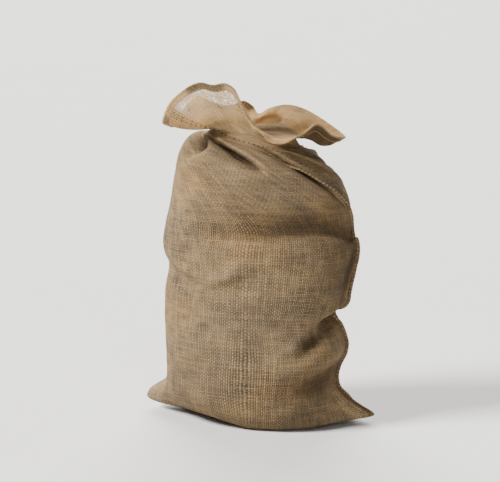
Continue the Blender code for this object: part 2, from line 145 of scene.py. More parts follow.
# Creases and soft folds of the filled body, one row a fold: left, right, rise, painted shade and a
# line over the cloth, in thousandths of share and along.  left and right: half widths on each side
# of that line, for someone who walks it on the outer face.  rise: positive for a ridge, negative
# for a trough.  painted shade: how much darker the cloth is painted where shade falls in the fold,
# negative where light is painted on it.  Rows that rise 0.0 only paint shade or light.
CREASE_ROWS = (
    # front, across the middle: slack, sharp crease and the bulge under it
    (42,  6, -16.0,  0.20, ((315, 566), (248, 569), (199, 577), (142, 582), (82, 574), (20, 556))),
    (54,  7,   0.0,  0.42, ((290, 576), (199, 584), (142, 589), (82, 581), (0, 562))),
    ( 7, 44,   0.0,  0.26, ((280, 562), (142, 570), (82, 562), (10, 548))),
    (28, 28,  -4.0,  0.06, ((270, 605), (50, 608))),
    (26, 34,   5.0,  0.00, ((300, 530), (35, 535))),
    (10, 22,   6.5, -0.06, ((430, 598), (349, 585), (300, 562))),
    (20,  5,  -3.5,  0.08, ((300, 602), (302, 560), (298, 505))),
    # left side: waist under the upper bulge, and the fold that rises from its end
    (20,  9,   5.5, -0.08, ((450, 488), (400, 474), (365, 460), (312, 436))),
    ( 8, 24,  -8.5,  0.10, ((455, 466), (400, 450), (365, 436), (315, 415))),
    (13, 16,   5.5, -0.12, ((312, 431), (279, 459), (250, 490))),
    (10, 24,  -3.5,  0.12, ((300, 408), (262, 440), (235, 470))),
    # right side: notch, the hollow below it and its lit edge
    (15, 14, -29.0,  0.20, ((-50, 330), (32, 322), (74, 311), (118, 296))),
    (22, 12,   5.0,  0.00, ((-20, 372), (60, 352), (125, 325))),
    (15, 11, -10.0,  0.72, ((100, 280), (144, 262), (160, 236))),
    (16, 10,   3.5, -0.05, ((131, 292), (168, 258), (220, 244))),
    # right edge: the cloth turns in beside the seam
    (14, 30,  -6.0,  0.70, ((16, 560), (20, 480), (26, 420), (30, 345))),
    (60, 60,   0.0,  0.34, ((55, 540), (60, 380))),
    # right: trough over the bottom corner and the ridge over that
    (24, 24, -14.0,  0.68, ((-40, 157), (40, 165), (105, 158), (180, 136))),
    (24, 24,   4.0, -0.04, ((6, 225), (118, 205), (231, 185))),
    # small wrinkles low on the front and left
    ( 8, 16,  -3.0,  0.06, ((466, 165), (381, 166), (335, 146))),
    ( 7, 12,  -2.6,  0.10, ((150, 303), (196, 309), (225, 304))),
    ( 8, 12,  -2.2,  0.06, ((238, 326), (292, 316))),
    (22, 22,  -3.0,  0.06, ((340, 195), (240, 245))),
    (14, 14,   2.5, -0.04, ((430, 120), (370, 85))),
    (70, 70,   0.0, -0.12, ((385, 540), (370, 640), (350, 800))),
    (12, 16,  -3.0,  0.08, ((410, 130), (350, 90))),
    (14, 10,   2.5, -0.10, ((70, 105), (20, 75))),
    (60, 60,   0.0, -0.62, ((50, 82), (-10, 88))),
    (44, 44,   0.0, -0.44, ((500, 88), (440, 88))),
    # under the twist: a short fold of the gathers, the slit's flap, the slit and its hollow
    ( 3,  6,  -5.0,  0.50, ((82, 905), (70, 886), (54, 873), (38, 868))),
    (14,  5,   7.0, -0.14, ((62, 900), (88, 862), (90, 820), (93, 785))),
    ( 6, 16, -22.0,  1.10, ((99, 874), (106, 845), (108, 815), (113, 772))),
    ( 9, 13,  -7.0,  0.85, ((106, 822), (111, 786))),
    ( 6, 28,  -8.0,  0.15, ((110, 850), (120, 815), (122, 775))),
    (10,  8,   5.0, -0.20, ((78, 820), (86, 790), (108, 762), (138, 748), (164, 742))),
    # pocket at the left shoulder, its dark side, and its crest that runs on to the left
    ( 5, 26, -20.0,  0.08, ((138, 895), (152, 862), (178, 828), (206, 810), (250, 795))),
    ( 4, 13,   0.0,  0.42, ((126, 892), (150, 858), (176, 828), (205, 810))),
    (14,  5,   8.5, -0.14, ((116, 888), (141, 845), (176, 813), (215, 793), (261, 773),
                            (306, 760))),
    # soft folds that fall from the slit's end
    (16, 16,   4.5, -0.06, ((88, 800), (141, 757), (205, 690))),
    (14, 22,  -3.5,  0.08, ((102, 778), (150, 720), (198, 668))),
    # the deep crease in front of the side seam, across the shoulder
    ( 4, 28, -15.0,  0.08, ((-28, 864), (-16, 846), (-2, 822), (4, 783), (5, 740), (8, 690))),
    ( 4, 12,  -6.0,  1.00, ((-26, 860), (-14, 843), (0, 822), (6, 783), (7, 740), (10, 700))),
    (18, 24,  -4.0,  0.05, ((330, 700), (300, 640), (290, 600))),
    # back: slack across the middle, gathers falling from the neck, soft dents
    (20, 26,  -6.0,  0.10, ((560, 580), (660, 592), (760, 600))),
    (12, 20,  -9.0,  0.15, ((620, 880), (612, 800), (600, 700))),
    (16, 16,   7.0, -0.08, ((760, 880), (748, 800), (735, 715))),
    (20, 12,  -8.0,  0.12, ((860, 870), (835, 780), (800, 680))),
    (11, 16,  -6.0,  0.12, ((680, 900), (690, 830), (702, 770))),
    (12, 12,   5.0, -0.08, ((925, 880), (905, 800), (890, 730))),
    (10, 16,  -6.0,  0.12, ((540, 870), (530, 810), (515, 740))),
    (24, 20,  -5.0,  0.08, ((580, 305), (680, 290), (760, 275))),
    (16, 22,  -6.0,  0.10, ((880, 440), (920, 380), (960, 325))),
    (18, 26,   4.5, -0.05, ((560, 220), (640, 190), (700, 185))),
    (12, 20,  -4.5,  0.08, ((820, 200), (760, 160), (700, 140))),
)


def hermite(start: Array, end: Array, leave: Array, arrive: Array,
            here: Array) -> Array:
    """Cubic between two values with given tangents.

    Args:
        start: Value at 0.
        end: Value at 1.
        leave: Tangent at 0.
        arrive: Tangent at 1.
        here: Where to read it, from 0 to 1.

    Returns:
        The cubic's value.
    """
    return ((2 * here**3 - 3 * here**2 + 1) * start + (here**3 - 2 * here**2 + here) * leave
            + (-2 * here**3 + 3 * here**2) * end + (here**3 - here**2) * arrive)


def lengths(vectors: Array) -> Array:
    """Length of each vector, kept as a last axis of one."""
    return np.linalg.norm(vectors, axis=-1)[..., None]


def turned(points: Array, degrees: float) -> Array:
    """Points turned about +Z.

    Args:
        points: Points, the last axis holding x, y and z.
        degrees: Turn, anticlockwise from above.

    Returns:
        The turned points.
    """
    cosine, sine = np.cos(np.radians(degrees)), np.sin(np.radians(degrees))
    x, y, z = points[..., 0], points[..., 1], points[..., 2]
    return np.stack([x * cosine - y * sine, x * sine + y * cosine, z], -1)


@dataclass(frozen=True)
class Curves:
    """Smooth curves through the rows of a table, read at any value of its first column."""

    columns: tuple[str, ...]
    rows: tuple[tuple[float, ...], ...]
    cyclic: bool = False

    def at(self, where: Array) -> dict[str, Array]:
        """Reads every later column.

        Args:
            where: Values of the first column.  A cyclic table's runs once round, from 0 to 1.

        Returns:
            One array for each later column, by name.
        """
        knots = np.array([row[0] for row in self.rows], float)
        values = np.array([row[1:] for row in self.rows], float)
        where = np.asarray(where, float)
        if self.cyclic:
            knots = np.concatenate([knots[-2:] - 1, knots, knots[:3] + 1])
            values = np.concatenate([values[-2:], values, values[:3]])
            where = where % 1.0
        step = np.diff(knots)[:, None]
        slope = np.diff(values, axis=0) / step
        tangent = np.empty_like(values)
        tangent[1:-1] = (slope[:-1] * step[1:] + slope[1:] * step[:-1]) / (step[1:] + step[:-1])
        tangent[0], tangent[-1] = slope[0], slope[-1]
        row = np.clip(np.searchsorted(knots, where, side="right") - 1, 0, len(knots) - 2)
        width = (knots[row + 1] - knots[row])[..., None]
        here = (where - knots[row])[..., None] / width
        curve = hermite(values[row], values[row + 1],
                        width * tangent[row], width * tangent[row + 1], here)
        return {name: curve[..., k] for k, name in enumerate(self.columns[1:])}


@dataclass(frozen=True)
class SackForm:
    """Outer face of the cloth, as points for a share round the girth and a way along the cloth.

    share 0 is the side seam, 0.25 the front, 0.5 the left fold and 0.75 the back.  along runs from
    0 at the bottom to 1 at the neck and 2 at the mouth's edge.  Everything here is in millimetres.
    """

    body: Curves = Curves(BODY_COLUMNS, BODY_ROWS)
    rim: Curves = Curves(RIM_COLUMNS, RIM_ROWS, cyclic=True)
    wall: Curves = Curves(WALL_COLUMNS, WALL_ROWS, cyclic=True)
    creases: tuple[tuple, ...] = CREASE_ROWS
    below_neck: float = BODY_ROWS[-2][0]
    crumple: float = 1.5

    def filled(self, share: Array, along: Array) -> Array:
        """Point of the filled body's smooth section.

        Args:
            share: Share round the girth.
            along: Way up the body, 0 to 1.

        Returns:
            The points.
        """
        row = self.body.at(along)
        angle = np.radians(row["twist"]) - 2 * np.pi * share
        cosine, sine = np.cos(angle), np.sin(angle)
        power = 2 / row["squareness"]
        across = np.sign(cosine) * np.abs(cosine) ** power
        behind = np.sign(sine) * np.abs(sine) ** power
        side = np.where(cosine > 0, row["right"], row["left"])
        face = np.where(sine > 0, row["back"], row["front"])
        off_corner = np.degrees(np.arctan2(np.abs(sine), np.abs(cosine))) / EAR_SPREAD
        ear = np.where(cosine > 0, row["right_ear"], -row["left_ear"]) * np.exp(-off_corner**2)
        height = row["height"] + row["tilt"] * across
        height += row["corner_lift"] * 2 * np.clip(-across, 0, 1) * np.clip(-behind, 0, 1)
        return np.stack([across * side + ear, behind * face, height], -1)

    def mouth_edge(self, share: Array) -> Array:
        """Point of the mouth's edge for each share round the cloth."""
        row = self.rim.at(share)
        return turned(np.stack([row["across"], row["behind"], row["height"]], -1), MOUTH_TURN)

    def collar(self, share: Array, up: Array) -> Array:
        """Point of the collar's outer face.

        Args:
            share: Share round the girth.
            up: Way from the neck, 0, to the mouth's edge, 1.

        Returns:
            The points.
        """
        neck = self.filled(share, np.ones_like(share))
        below = self.filled(share, np.full_like(share, self.below_neck))
        edge = self.mouth_edge(share)
        fold = self.wall.at(share)
        middle = turned((neck + edge) / 2, -MOUTH_TURN)
        out = np.stack([middle[..., 0] / MOUTH_LENGTH**2, middle[..., 1] / MOUTH_DEPTH**2,
                        np.zeros_like(share)], -1)
        out = turned(out / lengths(out), MOUTH_TURN)

        def stand_off(level: float, name: str) -> Array:
            """The wall's point a third or two thirds of the way up."""
            lift = fold[name + "_up"][..., None] * np.array([0.0, 0.0, 1.0])
            return neck + (edge - neck) * level + out * fold[name + "_out"][..., None] + lift

        low, high = stand_off(1 / 3, "low"), stand_off(2 / 3, "high")
        path = (below, neck, low, high, edge, 2 * edge - high)
        reach = np.clip(up, 0, 1) * 3
        point = np.zeros(neck.shape)
        for k in range(3):
            start, end = path[k + 1], path[k + 2]
            leave, arrive = (end - path[k]) / 2, (path[k + 3] - start) / 2
            part = hermite(start, end, leave, arrive, np.clip(reach - k, 0, 1)[..., None])
            point = np.where(((reach >= k) & (reach <= k + 1))[..., None], part, point)
        return point

    def hem_share(self, share: Array) -> Array:
        """The hem's width as a share of the collar's wall, wider where the wall runs askew.

        Args:
            share: Evenly spaced shares once round the girth.

        Returns:
            The hem's share of the wall at each of them.
        """
        ups = np.linspace(0, 1, 25)
        wall = np.stack([self.collar(share, np.full_like(share, up)) for up in ups])
        rise = wall[-1] - wall[-4]
        run = self.mouth_edge(share + 0.003) - self.mouth_edge(share - 0.003)
        square = np.linalg.norm(np.cross(rise, run), axis=-1)
        square /= np.linalg.norm(rise, axis=-1) * np.linalg.norm(run, axis=-1)
        width = HEM_WIDTH / np.maximum(square, HEM_LIMIT)
        for _ in range(12):
            width = (np.roll(width, 1) + 2 * width + np.roll(width, -1)) / 4
        return np.minimum(width / np.linalg.norm(np.diff(wall, axis=0), axis=-1).sum(0), HEM_LIMIT)

    def crease_fields(self, share: Array, along: Array) -> tuple[Array, Array]:
        """What the creases and folds do to the body's face.

        Args:
            share: Share round the girth.
            along: Way up the body.

        Returns:
            How far they lift the face out or sink it, and their painted shade, negative where light
            is painted.
        """
        cloth = np.array([GIRTH, BODY_LENGTH])
        lift, grime = np.zeros_like(share), np.zeros_like(share)
        for left, right, rise, dark, line in self.creases:
            line = np.array(line) / 1000 * cloth
            runs = np.diff(line, axis=0)
            reach = np.concatenate([[0.0], np.cumsum(np.linalg.norm(runs, axis=1))])
            turn = (share - line[0, 0] / GIRTH + 0.5) % 1.0 - 0.5
            point = np.stack([line[0, 0] + turn * GIRTH, along * BODY_LENGTH], -1)
            nearest = np.full(share.shape, np.inf)
            place, side = np.zeros_like(share), np.zeros_like(share)
            for start, run, before in zip(line, runs, reach):
                offset = point - start
                way = np.clip((offset @ run) / (run @ run), 0, 1)
                away = np.linalg.norm(offset - way[..., None] * run, axis=-1)
                closer = away < nearest
                nearest = np.where(closer, away, nearest)
                place = np.where(closer, (before + way * np.linalg.norm(run)) / reach[-1], place)
                side = np.where(closer, offset[..., 0] * run[1] - offset[..., 1] * run[0], side)
            fade = np.sin(np.pi * np.clip(place, 0.08, 0.92)) ** 0.7
            weight = fade * np.exp(-(nearest / np.where(side > 0, left, right)) ** 2)
            lift += rise * weight
            # painted shade in the fold, painted light where the value is negative
            grime += dark * weight
        return lift, grime

    def straight_out(self, share: Array, along: Array) -> Array:
        """Direction straight out of the body's smooth surface.

        Args:
            share: Share round the girth.
            along: Way up the body.

        Returns:
            The directions, of length one.
        """
        step = 0.004
        round_run = self.filled(share + step, along) - self.filled(share - step, along)
        up_run = (self.filled(share, np.minimum(along + step, 1))
                  - self.filled(share, np.maximum(along - step, 0)))
        out = np.cross(up_run, round_run)
        return out / lengths(out)

    def skin(self, share: Array, along: Array) -> Array:
        """Point of the outer face.

        Args:
            share: Share round the girth.
            along: Way along the cloth, 0 to 2.

        Returns:
            The points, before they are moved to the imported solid's place.
        """
        share, along = np.broadcast_arrays(np.asarray(share, float), np.asarray(along, float))
        up = np.clip(along, 0, 1)
        body = self.filled(share, up)
        fade = np.clip((up - 0.03) / 0.06, 0, 1) * np.clip((1.0 - up) / 0.08, 0, 1)
        body += self.straight_out(share, up) * (self.crease_fields(share, up)[0] * fade)[..., None]
        collar = self.collar(share, along - 1)
        return np.where((along > 1)[..., None], collar, body)

    def normals(self, share: Array, along: Array,
                reach: float = 0.006, step: float = 0.004) -> Array:
        """Unit normals of the outer face, read over a short reach of cloth.

        Args:
            share: Share round the girth.
            along: Way along the cloth.
            reach: Half the reach round the girth.
            step: Half the reach along the cloth.

        Returns:
            Normals that point out.
        """
        round_run = self.skin(share + reach, along) - self.skin(share - reach, along)
        up_run = self.skin(share, along + step) - self.skin(share, along - step)
        normal = np.cross(up_run, round_run)
        return normal / lengths(normal)

    def crumpled(self, share: Array, along: Array, lift: Array) -> Array:
        """Point of the crumpled cloth, off the outer face.

        Args:
            share: Share round the girth.
            along: Way along the cloth.
            lift: How far out of the smooth face, millimetres.

        Returns:
            The points in metres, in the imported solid's place.
        """
        share, along, lift = np.broadcast_arrays(np.asarray(share, float), along, lift)
        face = self.skin(share, along)
        fade = self.crumple * np.clip(along / 0.06, 0, 1)
        lift = lift + fade * crumple_noise(face)
        return (face + self.normals(share, along) * lift[..., None] + RECENTRE) * MM


def crumple_noise(points: Array) -> Array:
    """Uneven lift of slack cloth: smooth noise of about -1 to 1, in three sizes of fold.

    Args:
        points: Points in millimetres.

    Returns:
        One value for each point.
    """
    flat = points.reshape(-1, 3)
    value = np.zeros(len(flat))
    for size, weight in CRUMPLE_SIZES:
        value += weight * np.array([noise.noise(Vector(point)) for point in flat / size])
    return value.reshape(points.shape[:-1])


# --- finishes ---------------------------------------------------------------------------------

Value = float | tuple[float, ...] | Socket
Stops = tuple[tuple[float, tuple[float, float, float]], ...]


class Graph:
    """A node tree, with short calls for the nodes that the finishes and the sewing use."""

    def __init__(self, tree: bpy.types.NodeTree) -> None:
        """Starts from the tree as it is."""
        self.tree = tree

    def feed(self, socket: Socket, value: Value) -> None:
        """Links a socket to another, or sets its own value."""
        if isinstance(value, Socket):
            self.tree.links.new(value, socket)
        else:
            socket.default_value = value

    def add(self, kind: str, inputs: dict[str | int, Value] | None = None,
            **settings: str | bool) -> bpy.types.Node:
        """Adds a node.

        Args:
            kind: The node's type.
            inputs: Values or sockets for its inputs, by name or place.
            settings: The node's own options.

        Returns:
            The node.
        """
        node = self.tree.nodes.new(kind)
        for name, value in settings.items():
            setattr(node, name, value)
        for key, value in (inputs or {}).items():
            self.feed(node.inputs[key], value)
        return node

    def math(self, operation: str, *values: Value) -> Socket:
        """Result of one sum on numbers."""
        return self.add("ShaderNodeMath", dict(enumerate(values)), operation=operation).outputs[0]

    def times(self, first: Value, second: Value) -> Socket:
        """One number times another."""
        return self.math("MULTIPLY", first, second)

    def plus(self, first: Value, second: Value) -> Socket:
        """One number plus another."""
        return self.math("ADD", first, second)

    def minus(self, first: Value, second: Value) -> Socket:
        """One number minus another."""
        return self.math("SUBTRACT", first, second)

    def scaled(self, value: Value, by: Value, more: Value) -> Socket:
        """A number times another, plus a third."""
        return self.math("MULTIPLY_ADD", value, by, more)

    def attribute(self, name: str) -> Socket:
        """A number that the mesh carries."""
        return self.add("ShaderNodeAttribute", attribute_name=name).outputs["Fac"]

    def vector_math(self, operation: str, *values: Value) -> Socket:
        """Result of one sum on vectors."""
        return self.add("ShaderNodeVectorMath", dict(enumerate(values)),
                        operation=operation).outputs["Vector"]

    def between(self, value: Value, low: Value, high: Value,
                start: float = 0.0, end: float = 1.0) -> Socket:
        """Soft step from start to end, as the value goes from low to high."""
        node = self.add("ShaderNodeMapRange", {"Value": value, "From Min": low, "From Max": high,
                                               "To Min": start, "To Max": end},
                        interpolation_type="SMOOTHSTEP")
        return node.outputs["Result"]

    def cloud(self, vector: Value, scale: float, detail: float = 0.0, output: int = 0) -> Socket:
        """Noise at a number of features a metre: its value, or its colour with output 1."""
        return self.add("ShaderNodeTexNoise", {"Vector": vector, "Scale": scale, "Detail": detail}
                        ).outputs[output]

    def triple(self, x: Value, y: Value, z: Value = 0.0) -> Socket:
        """Vector of three numbers."""
        return self.add("ShaderNodeCombineXYZ", {0: x, 1: y, 2: z}).outputs[0]

    def tints(self, value: Value, *stops: tuple[float, tuple[float, float, float]]) -> Socket:
        """Colour for a value.

        Args:
            value: Where on the ramp to look.
            stops: Places on the ramp and the colours there.

        Returns:
            The colour.
        """
        node = self.add("ShaderNodeValToRGB", {"Fac": value})
        ramp = node.color_ramp
        while len(ramp.elements) < len(stops):
            ramp.elements.new(0.5)
        for element, (place, colour) in zip(ramp.elements, stops):
            element.position = place
            element.color = (*colour, 1.0)
        return node.outputs["Color"]

    def tinted(self, first: Value, *others: Value) -> Socket:
        """Colours multiplied together."""
        for other in others:
            first = self.blend("MULTIPLY", 1.0, first, other)
        return first

    def blend(self, kind: str, share: Value, first: Value, second: Value) -> Socket:
        """Mixes two colours."""
        node = self.add("ShaderNodeMix", data_type="RGBA", blend_type=kind)
        for name, value in (("Factor_Float", share), ("A_Color", first), ("B_Color", second)):
            self.feed(next(s for s in node.inputs if s.identifier == name), value)
        return next(s for s in node.outputs if s.identifier == "Result_Color")


def new_finish(name: str) -> tuple[Material, Graph, bpy.types.Node]:
    """Starts a material.

    Args:
        name: The material's name.

    Returns:
        The material, its graph and its Principled shader.
    """
    material = bpy.data.materials.new(name)
    material.use_nodes = True
    return material, Graph(material.node_tree), material.node_tree.nodes["Principled BSDF"]


def speckled(name: str, scale: float, detail: float, roughness: float, *stops: tuple
             ) -> tuple[Material, Graph, bpy.types.Node, Socket]:
    """Starts a matt material whose colour is speckled.

    Args:
        name: The material's name.
        scale: Specks a metre.
        detail: How much finer noise they have.
        roughness: The surface's roughness.
        stops: The colours, from the darkest speck to the palest.

    Returns:
        The material, its graph, its Principled shader and its place socket.
    """
    material, graph, shader = new_finish(name)
    place = graph.add("ShaderNodeTexCoord").outputs["Object"]
    graph.feed(shader.inputs["Base Color"], graph.tints(graph.cloud(place, scale, detail), *stops))
    shader.inputs["Roughness"].default_value = roughness
    return material, graph, shader, place


@dataclass(frozen=True)
class HessianFinish:
    """Plain-woven jute: yarns over and under, uneven in thickness and tint, with gaps between.

    It follows the cloth's own UV map, which is in metres of flat cloth.  The ranges that its noise
    is spread over are stated where they are used.
    """

    name: str = "Jute_hessian_weave"
    warp_pitch: float = 3.6 * MM
    weft_pitch: float = 3.7 * MM
    relief: float = 0.9 * MM
    wander: float = 3.0 * MM
    warp_spare: float = 0.42        # share of the wave left between yarns of middling thickness
    weft_spare: float = 0.28
    weft_low: float = 0.74          # height of the weft, as a share of the warp's
    slub_length: float = 26.0       # slubs a metre of yarn
    yarn_edge: float = 0.13         # half the softness of a yarn's edge
    jute: Stops = ((0.0, (0.042, 0.027, 0.014)), (0.35, (0.138, 0.094, 0.050)),
                   (0.70, (0.275, 0.205, 0.120)), (1.0, (0.430, 0.345, 0.222)))
    gap_shade: tuple[float, ...] = (0.036, 0.028, 0.020, 1.0)
    grime_range: tuple[float, float] = (-0.5, 0.8)      # painted shade values that the ramp's two ends stand for
    # tints for the painted shade in the folds, and for painted light where it is negative
    folds: Stops = ((0.0, (1.97, 1.90, 1.76)), (0.385, (1.0, 1.0, 1.0)),
                    (0.77, (0.50, 0.46, 0.41)), (1.0, (0.30, 0.265, 0.225)))
    # painted light: a paler tint where one layer of cloth stands free
    painted_light: Stops = ((0.0, (1.0, 1.0, 1.0)), (1.0, (1.50, 1.47, 1.38)))
    # painted shade on the turned hem's two layers
    hem_painted_shade: Stops = ((0.0, (1.0, 1.0, 1.0)), (1.0, (0.86, 0.84, 0.81)))
    glow_tint: tuple[float, ...] = (0.98, 0.84, 0.60, 1.0)
    glow_share: float = 0.55        # how much light one free layer lets through
    fine: tuple[float, float] = (2400.0, 260.0)     # fibres a metre, across and along a yarn

    def build(self) -> Material:
        """Makes the material."""
        material, graph, shader = new_finish(self.name)
        uv = graph.add("ShaderNodeUVMap", uv_map="cloth").outputs[0]
        split = graph.add("ShaderNodeSeparateXYZ", {0: self.wandering(graph, uv)})
        u, v = split.outputs[0], split.outputs[1]
        across = graph.math("DIVIDE", u, self.warp_pitch)
        up = graph.math("DIVIDE", v, self.weft_pitch)
        warp_no, weft_no = graph.math("FLOOR", across), graph.math("FLOOR", up)
        wave_u = graph.math("SINE", graph.times(across, math.pi))
        wave_v = graph.math("SINE", graph.times(up, math.pi))
        over = graph.times(wave_u, wave_v)
        opening = graph.attribute("open_weave")
        patch = graph.between(graph.cloud(uv, 9.0, 3.0), 0.42, 0.66, -0.14, 0.22)
        fleck = graph.between(graph.cloud(uv, 190.0, 2.0), 0.30, 0.70, 0.20, 0.45)
        slack = graph.scaled(opening, fleck, graph.times(patch, graph.scaled(opening, -0.85, 1.0)))
        slub_warp = self.slub(graph, warp_no, v, 0.0)
        slub_weft = self.slub(graph, weft_no, u, 9.0)
        warp, warp_high = self.yarn(graph, wave_u, slub_warp, slack, over, self.warp_spare)
        weft, weft_high = self.yarn(graph, wave_v, slub_weft, graph.times(slack, 1.5),
                                    graph.times(over, -1.0), self.weft_spare)
        weft_high = graph.times(weft_high, self.weft_low)
        high = graph.math("MAXIMUM", warp_high, weft_high)
        gap = graph.times(graph.minus(1.0, warp), graph.minus(1.0, weft))
        warp_shows = graph.between(graph.minus(warp_high, weft_high), -0.1, 0.1)
        fibre = self.fibres(graph, u, v, warp_shows)
        tint = graph.plus(graph.times(warp_shows, slub_warp),
                          graph.times(graph.minus(1.0, warp_shows), slub_weft))
        # the yarns are painted darker where they lie low in the weave, painted shade of its relief
        tone = graph.scaled(high, 0.50, graph.scaled(tint, 0.30, -0.08))
        tone = graph.plus(tone, graph.scaled(fibre, 0.30, -0.15))
        colour = graph.tinted(graph.tints(tone, *self.jute), self.blotches(graph, uv),
                              self.painted_light_and_shade(graph))
        inside = graph.times(gap, graph.minus(1.0, opening))
        colour = graph.blend("MIX", graph.times(inside, 0.90), colour, self.gap_shade)
        height = graph.plus(high, graph.times(fibre, 0.2))
        bump = graph.add("ShaderNodeBump", {"Strength": 1.0, "Distance": self.relief,
                                            "Height": height}).outputs[0]
        hole = graph.times(graph.between(gap, 0.35, 0.65), graph.between(opening, 0.2, 0.5))
        graph.feed(shader.inputs["Base Color"], colour)
        graph.feed(shader.inputs["Normal"], bump)
        graph.feed(shader.inputs["Alpha"], graph.minus(1.0, hole))
        shader.inputs["Roughness"].default_value = 0.88
        shader.inputs["Specular IOR Level"].default_value = 0.15
        self.glow(graph, shader, colour, bump, hole)
        return material

    def painted_light_and_shade(self, graph: Graph) -> Socket:
        """Painted shade and light: in the folds, on the collar's free cloth and on the hem."""
        least, most = self.grime_range
        place = graph.scaled(graph.attribute("grime"), 1 / (most - least), -least / (most - least))
        return graph.tinted(graph.tints(place, *self.folds),
                            graph.tints(graph.attribute("one_layer"), *self.painted_light),
                            graph.tints(graph.attribute("hem"), *self.hem_painted_shade))

    def glow(self, graph: Graph, shader: bpy.types.Node, colour: Value, normal: Value,
             hole: Value) -> None:
        """Lets light through where one layer of cloth stands free.

        Args:
            graph: The material's graph.
            shader: What the cloth looks like where no light comes through.
            colour: The cloth's colour.
            normal: Its normal with the yarns' relief.
            hole: Where the weave is open.
        """
        light = graph.blend("MIX", 0.50, colour, self.glow_tint)
        through = graph.add("ShaderNodeBsdfTranslucent", {"Color": light, "Normal": normal})
        clear = graph.add("ShaderNodeBsdfTransparent")
        through = graph.add("ShaderNodeMixShader", {0: hole, 1: through.outputs[0],
                                                    2: clear.outputs[0]})
        share = graph.times(graph.attribute("one_layer"), self.glow_share)
        cloth = graph.add("ShaderNodeMixShader", {0: share, 1: shader.outputs[0],
                                                  2: through.outputs[0]})
        end = next(node for node in graph.tree.nodes if node.type == "OUTPUT_MATERIAL")
        graph.feed(end.inputs["Surface"], cloth.outputs[0])

    def wandering(self, graph: Graph, uv: Value) -> Socket:
        """The cloth's coordinates, bent a little so that no yarn runs quite straight."""
        bent = graph.vector_math("SUBTRACT", graph.cloud(uv, 24.0, 2.0, output=1), (0.5, 0.5, 0.5))
        return graph.vector_math("MULTIPLY_ADD", bent, (self.wander,) * 3, uv)

    def slub(self, graph: Graph, number: Value, way: Value, offset: float) -> Socket:
        """Thickness of a yarn from 0 to 1: its own, with slubs along it."""
        place = graph.triple(graph.times(number, 0.731), graph.times(way, self.slub_length), offset)
        along = graph.between(graph.cloud(place, 1.0, 1.0), 0.3, 0.7)
        own = graph.add("ShaderNodeTexWhiteNoise", {"W": graph.plus(number, offset)},
                        noise_dimensions="1D").outputs[0]
        return graph.scaled(own, 0.4, graph.times(along, 0.6))

    def yarn(self, graph: Graph, wave: Value, slub: Value, slack: Value, over: Value,
             spare: float) -> tuple[Socket, Socket]:
        """One set of yarns.

        Args:
            graph: The material's graph.
            wave: Sine across the yarns.
            slub: Their thickness.
            slack: How open the weave is.
            over: Positive where the yarn passes over the other set.
            spare: Share of the wave left between yarns of middling thickness.

        Returns:
            Where a yarn is, 0 or 1, and how high its top lies.
        """
        side = graph.math("ABSOLUTE", wave)
        edge = graph.plus(graph.scaled(slub, -0.55, spare + 0.27), slack)
        there = graph.between(side, graph.minus(edge, self.yarn_edge),
                              graph.plus(edge, self.yarn_edge))
        top = graph.scaled(side, 0.45, graph.scaled(over, 0.40, 0.30))
        return there, graph.times(there, top)

    def fibres(self, graph: Graph, u: Value, v: Value, warp_shows: Value) -> Socket:
        """Fine fibres that run along whichever yarn lies on top."""
        warp, weft = (
            graph.cloud(graph.triple(graph.times(u, fine_u), graph.times(v, fine_v)), 1.0, 1.0)
            for fine_u, fine_v in (self.fine, self.fine[::-1]))
        return graph.add("ShaderNodeMix", {0: warp_shows, 2: weft, 3: warp}).outputs[0]

    def blotches(self, graph: Graph, uv: Value) -> Socket:
        """Broad unevenness of colour: paler and greyer patches in the brown, and its grain.

        Args:
            graph: The material's graph.
            uv: The cloth's coordinates.

        Returns:
            What the yarns' colour is multiplied by.
        """
        broad = graph.tints(graph.cloud(uv, 5.0, 4.0), (0.32, (0.74, 0.76, 0.82)),
                            (0.50, (0.98, 0.98, 0.98)), (0.70, (1.16, 1.05, 0.90)))
        small = graph.tints(graph.cloud(uv, 26.0, 3.0), (0.34, (0.80, 0.82, 0.86)),
                            (0.64, (1.10, 1.06, 1.00)))
        grain = graph.tints(graph.cloud(uv, 480.0, 2.0), (0.30, (0.66, 0.66, 0.66)),
                            (0.70, (1.30, 1.30, 1.30)))
        return graph.tinted(broad, small, grain)


@dataclass(frozen=True)
class FloorFinish:
    """Pale matt studio floor."""

    name: str = "Pale_floor"
    tone: tuple[float, float, float] = (0.58, 0.58, 0.575)

    def build(self) -> Material:
        """Makes the material."""
        pale = tuple(min(1.0, value * 1.02) for value in self.tone)
        return speckled(self.name, 1.5, 2.0, 0.9, (0.3, self.tone), (0.7, pale))[0]


# --- meshes -----------------------------------------------------------------------------------

def mesh_object(name: str, mesh: bpy.types.Mesh, material: Material) -> Piece:
    """Object for a mesh, in the scene, smooth and with its finish."""
    mesh.materials.append(material)
    mesh.shade_smooth()
    piece = bpy.data.objects.new(name, mesh)
    bpy.context.scene.collection.objects.link(piece)
    return piece


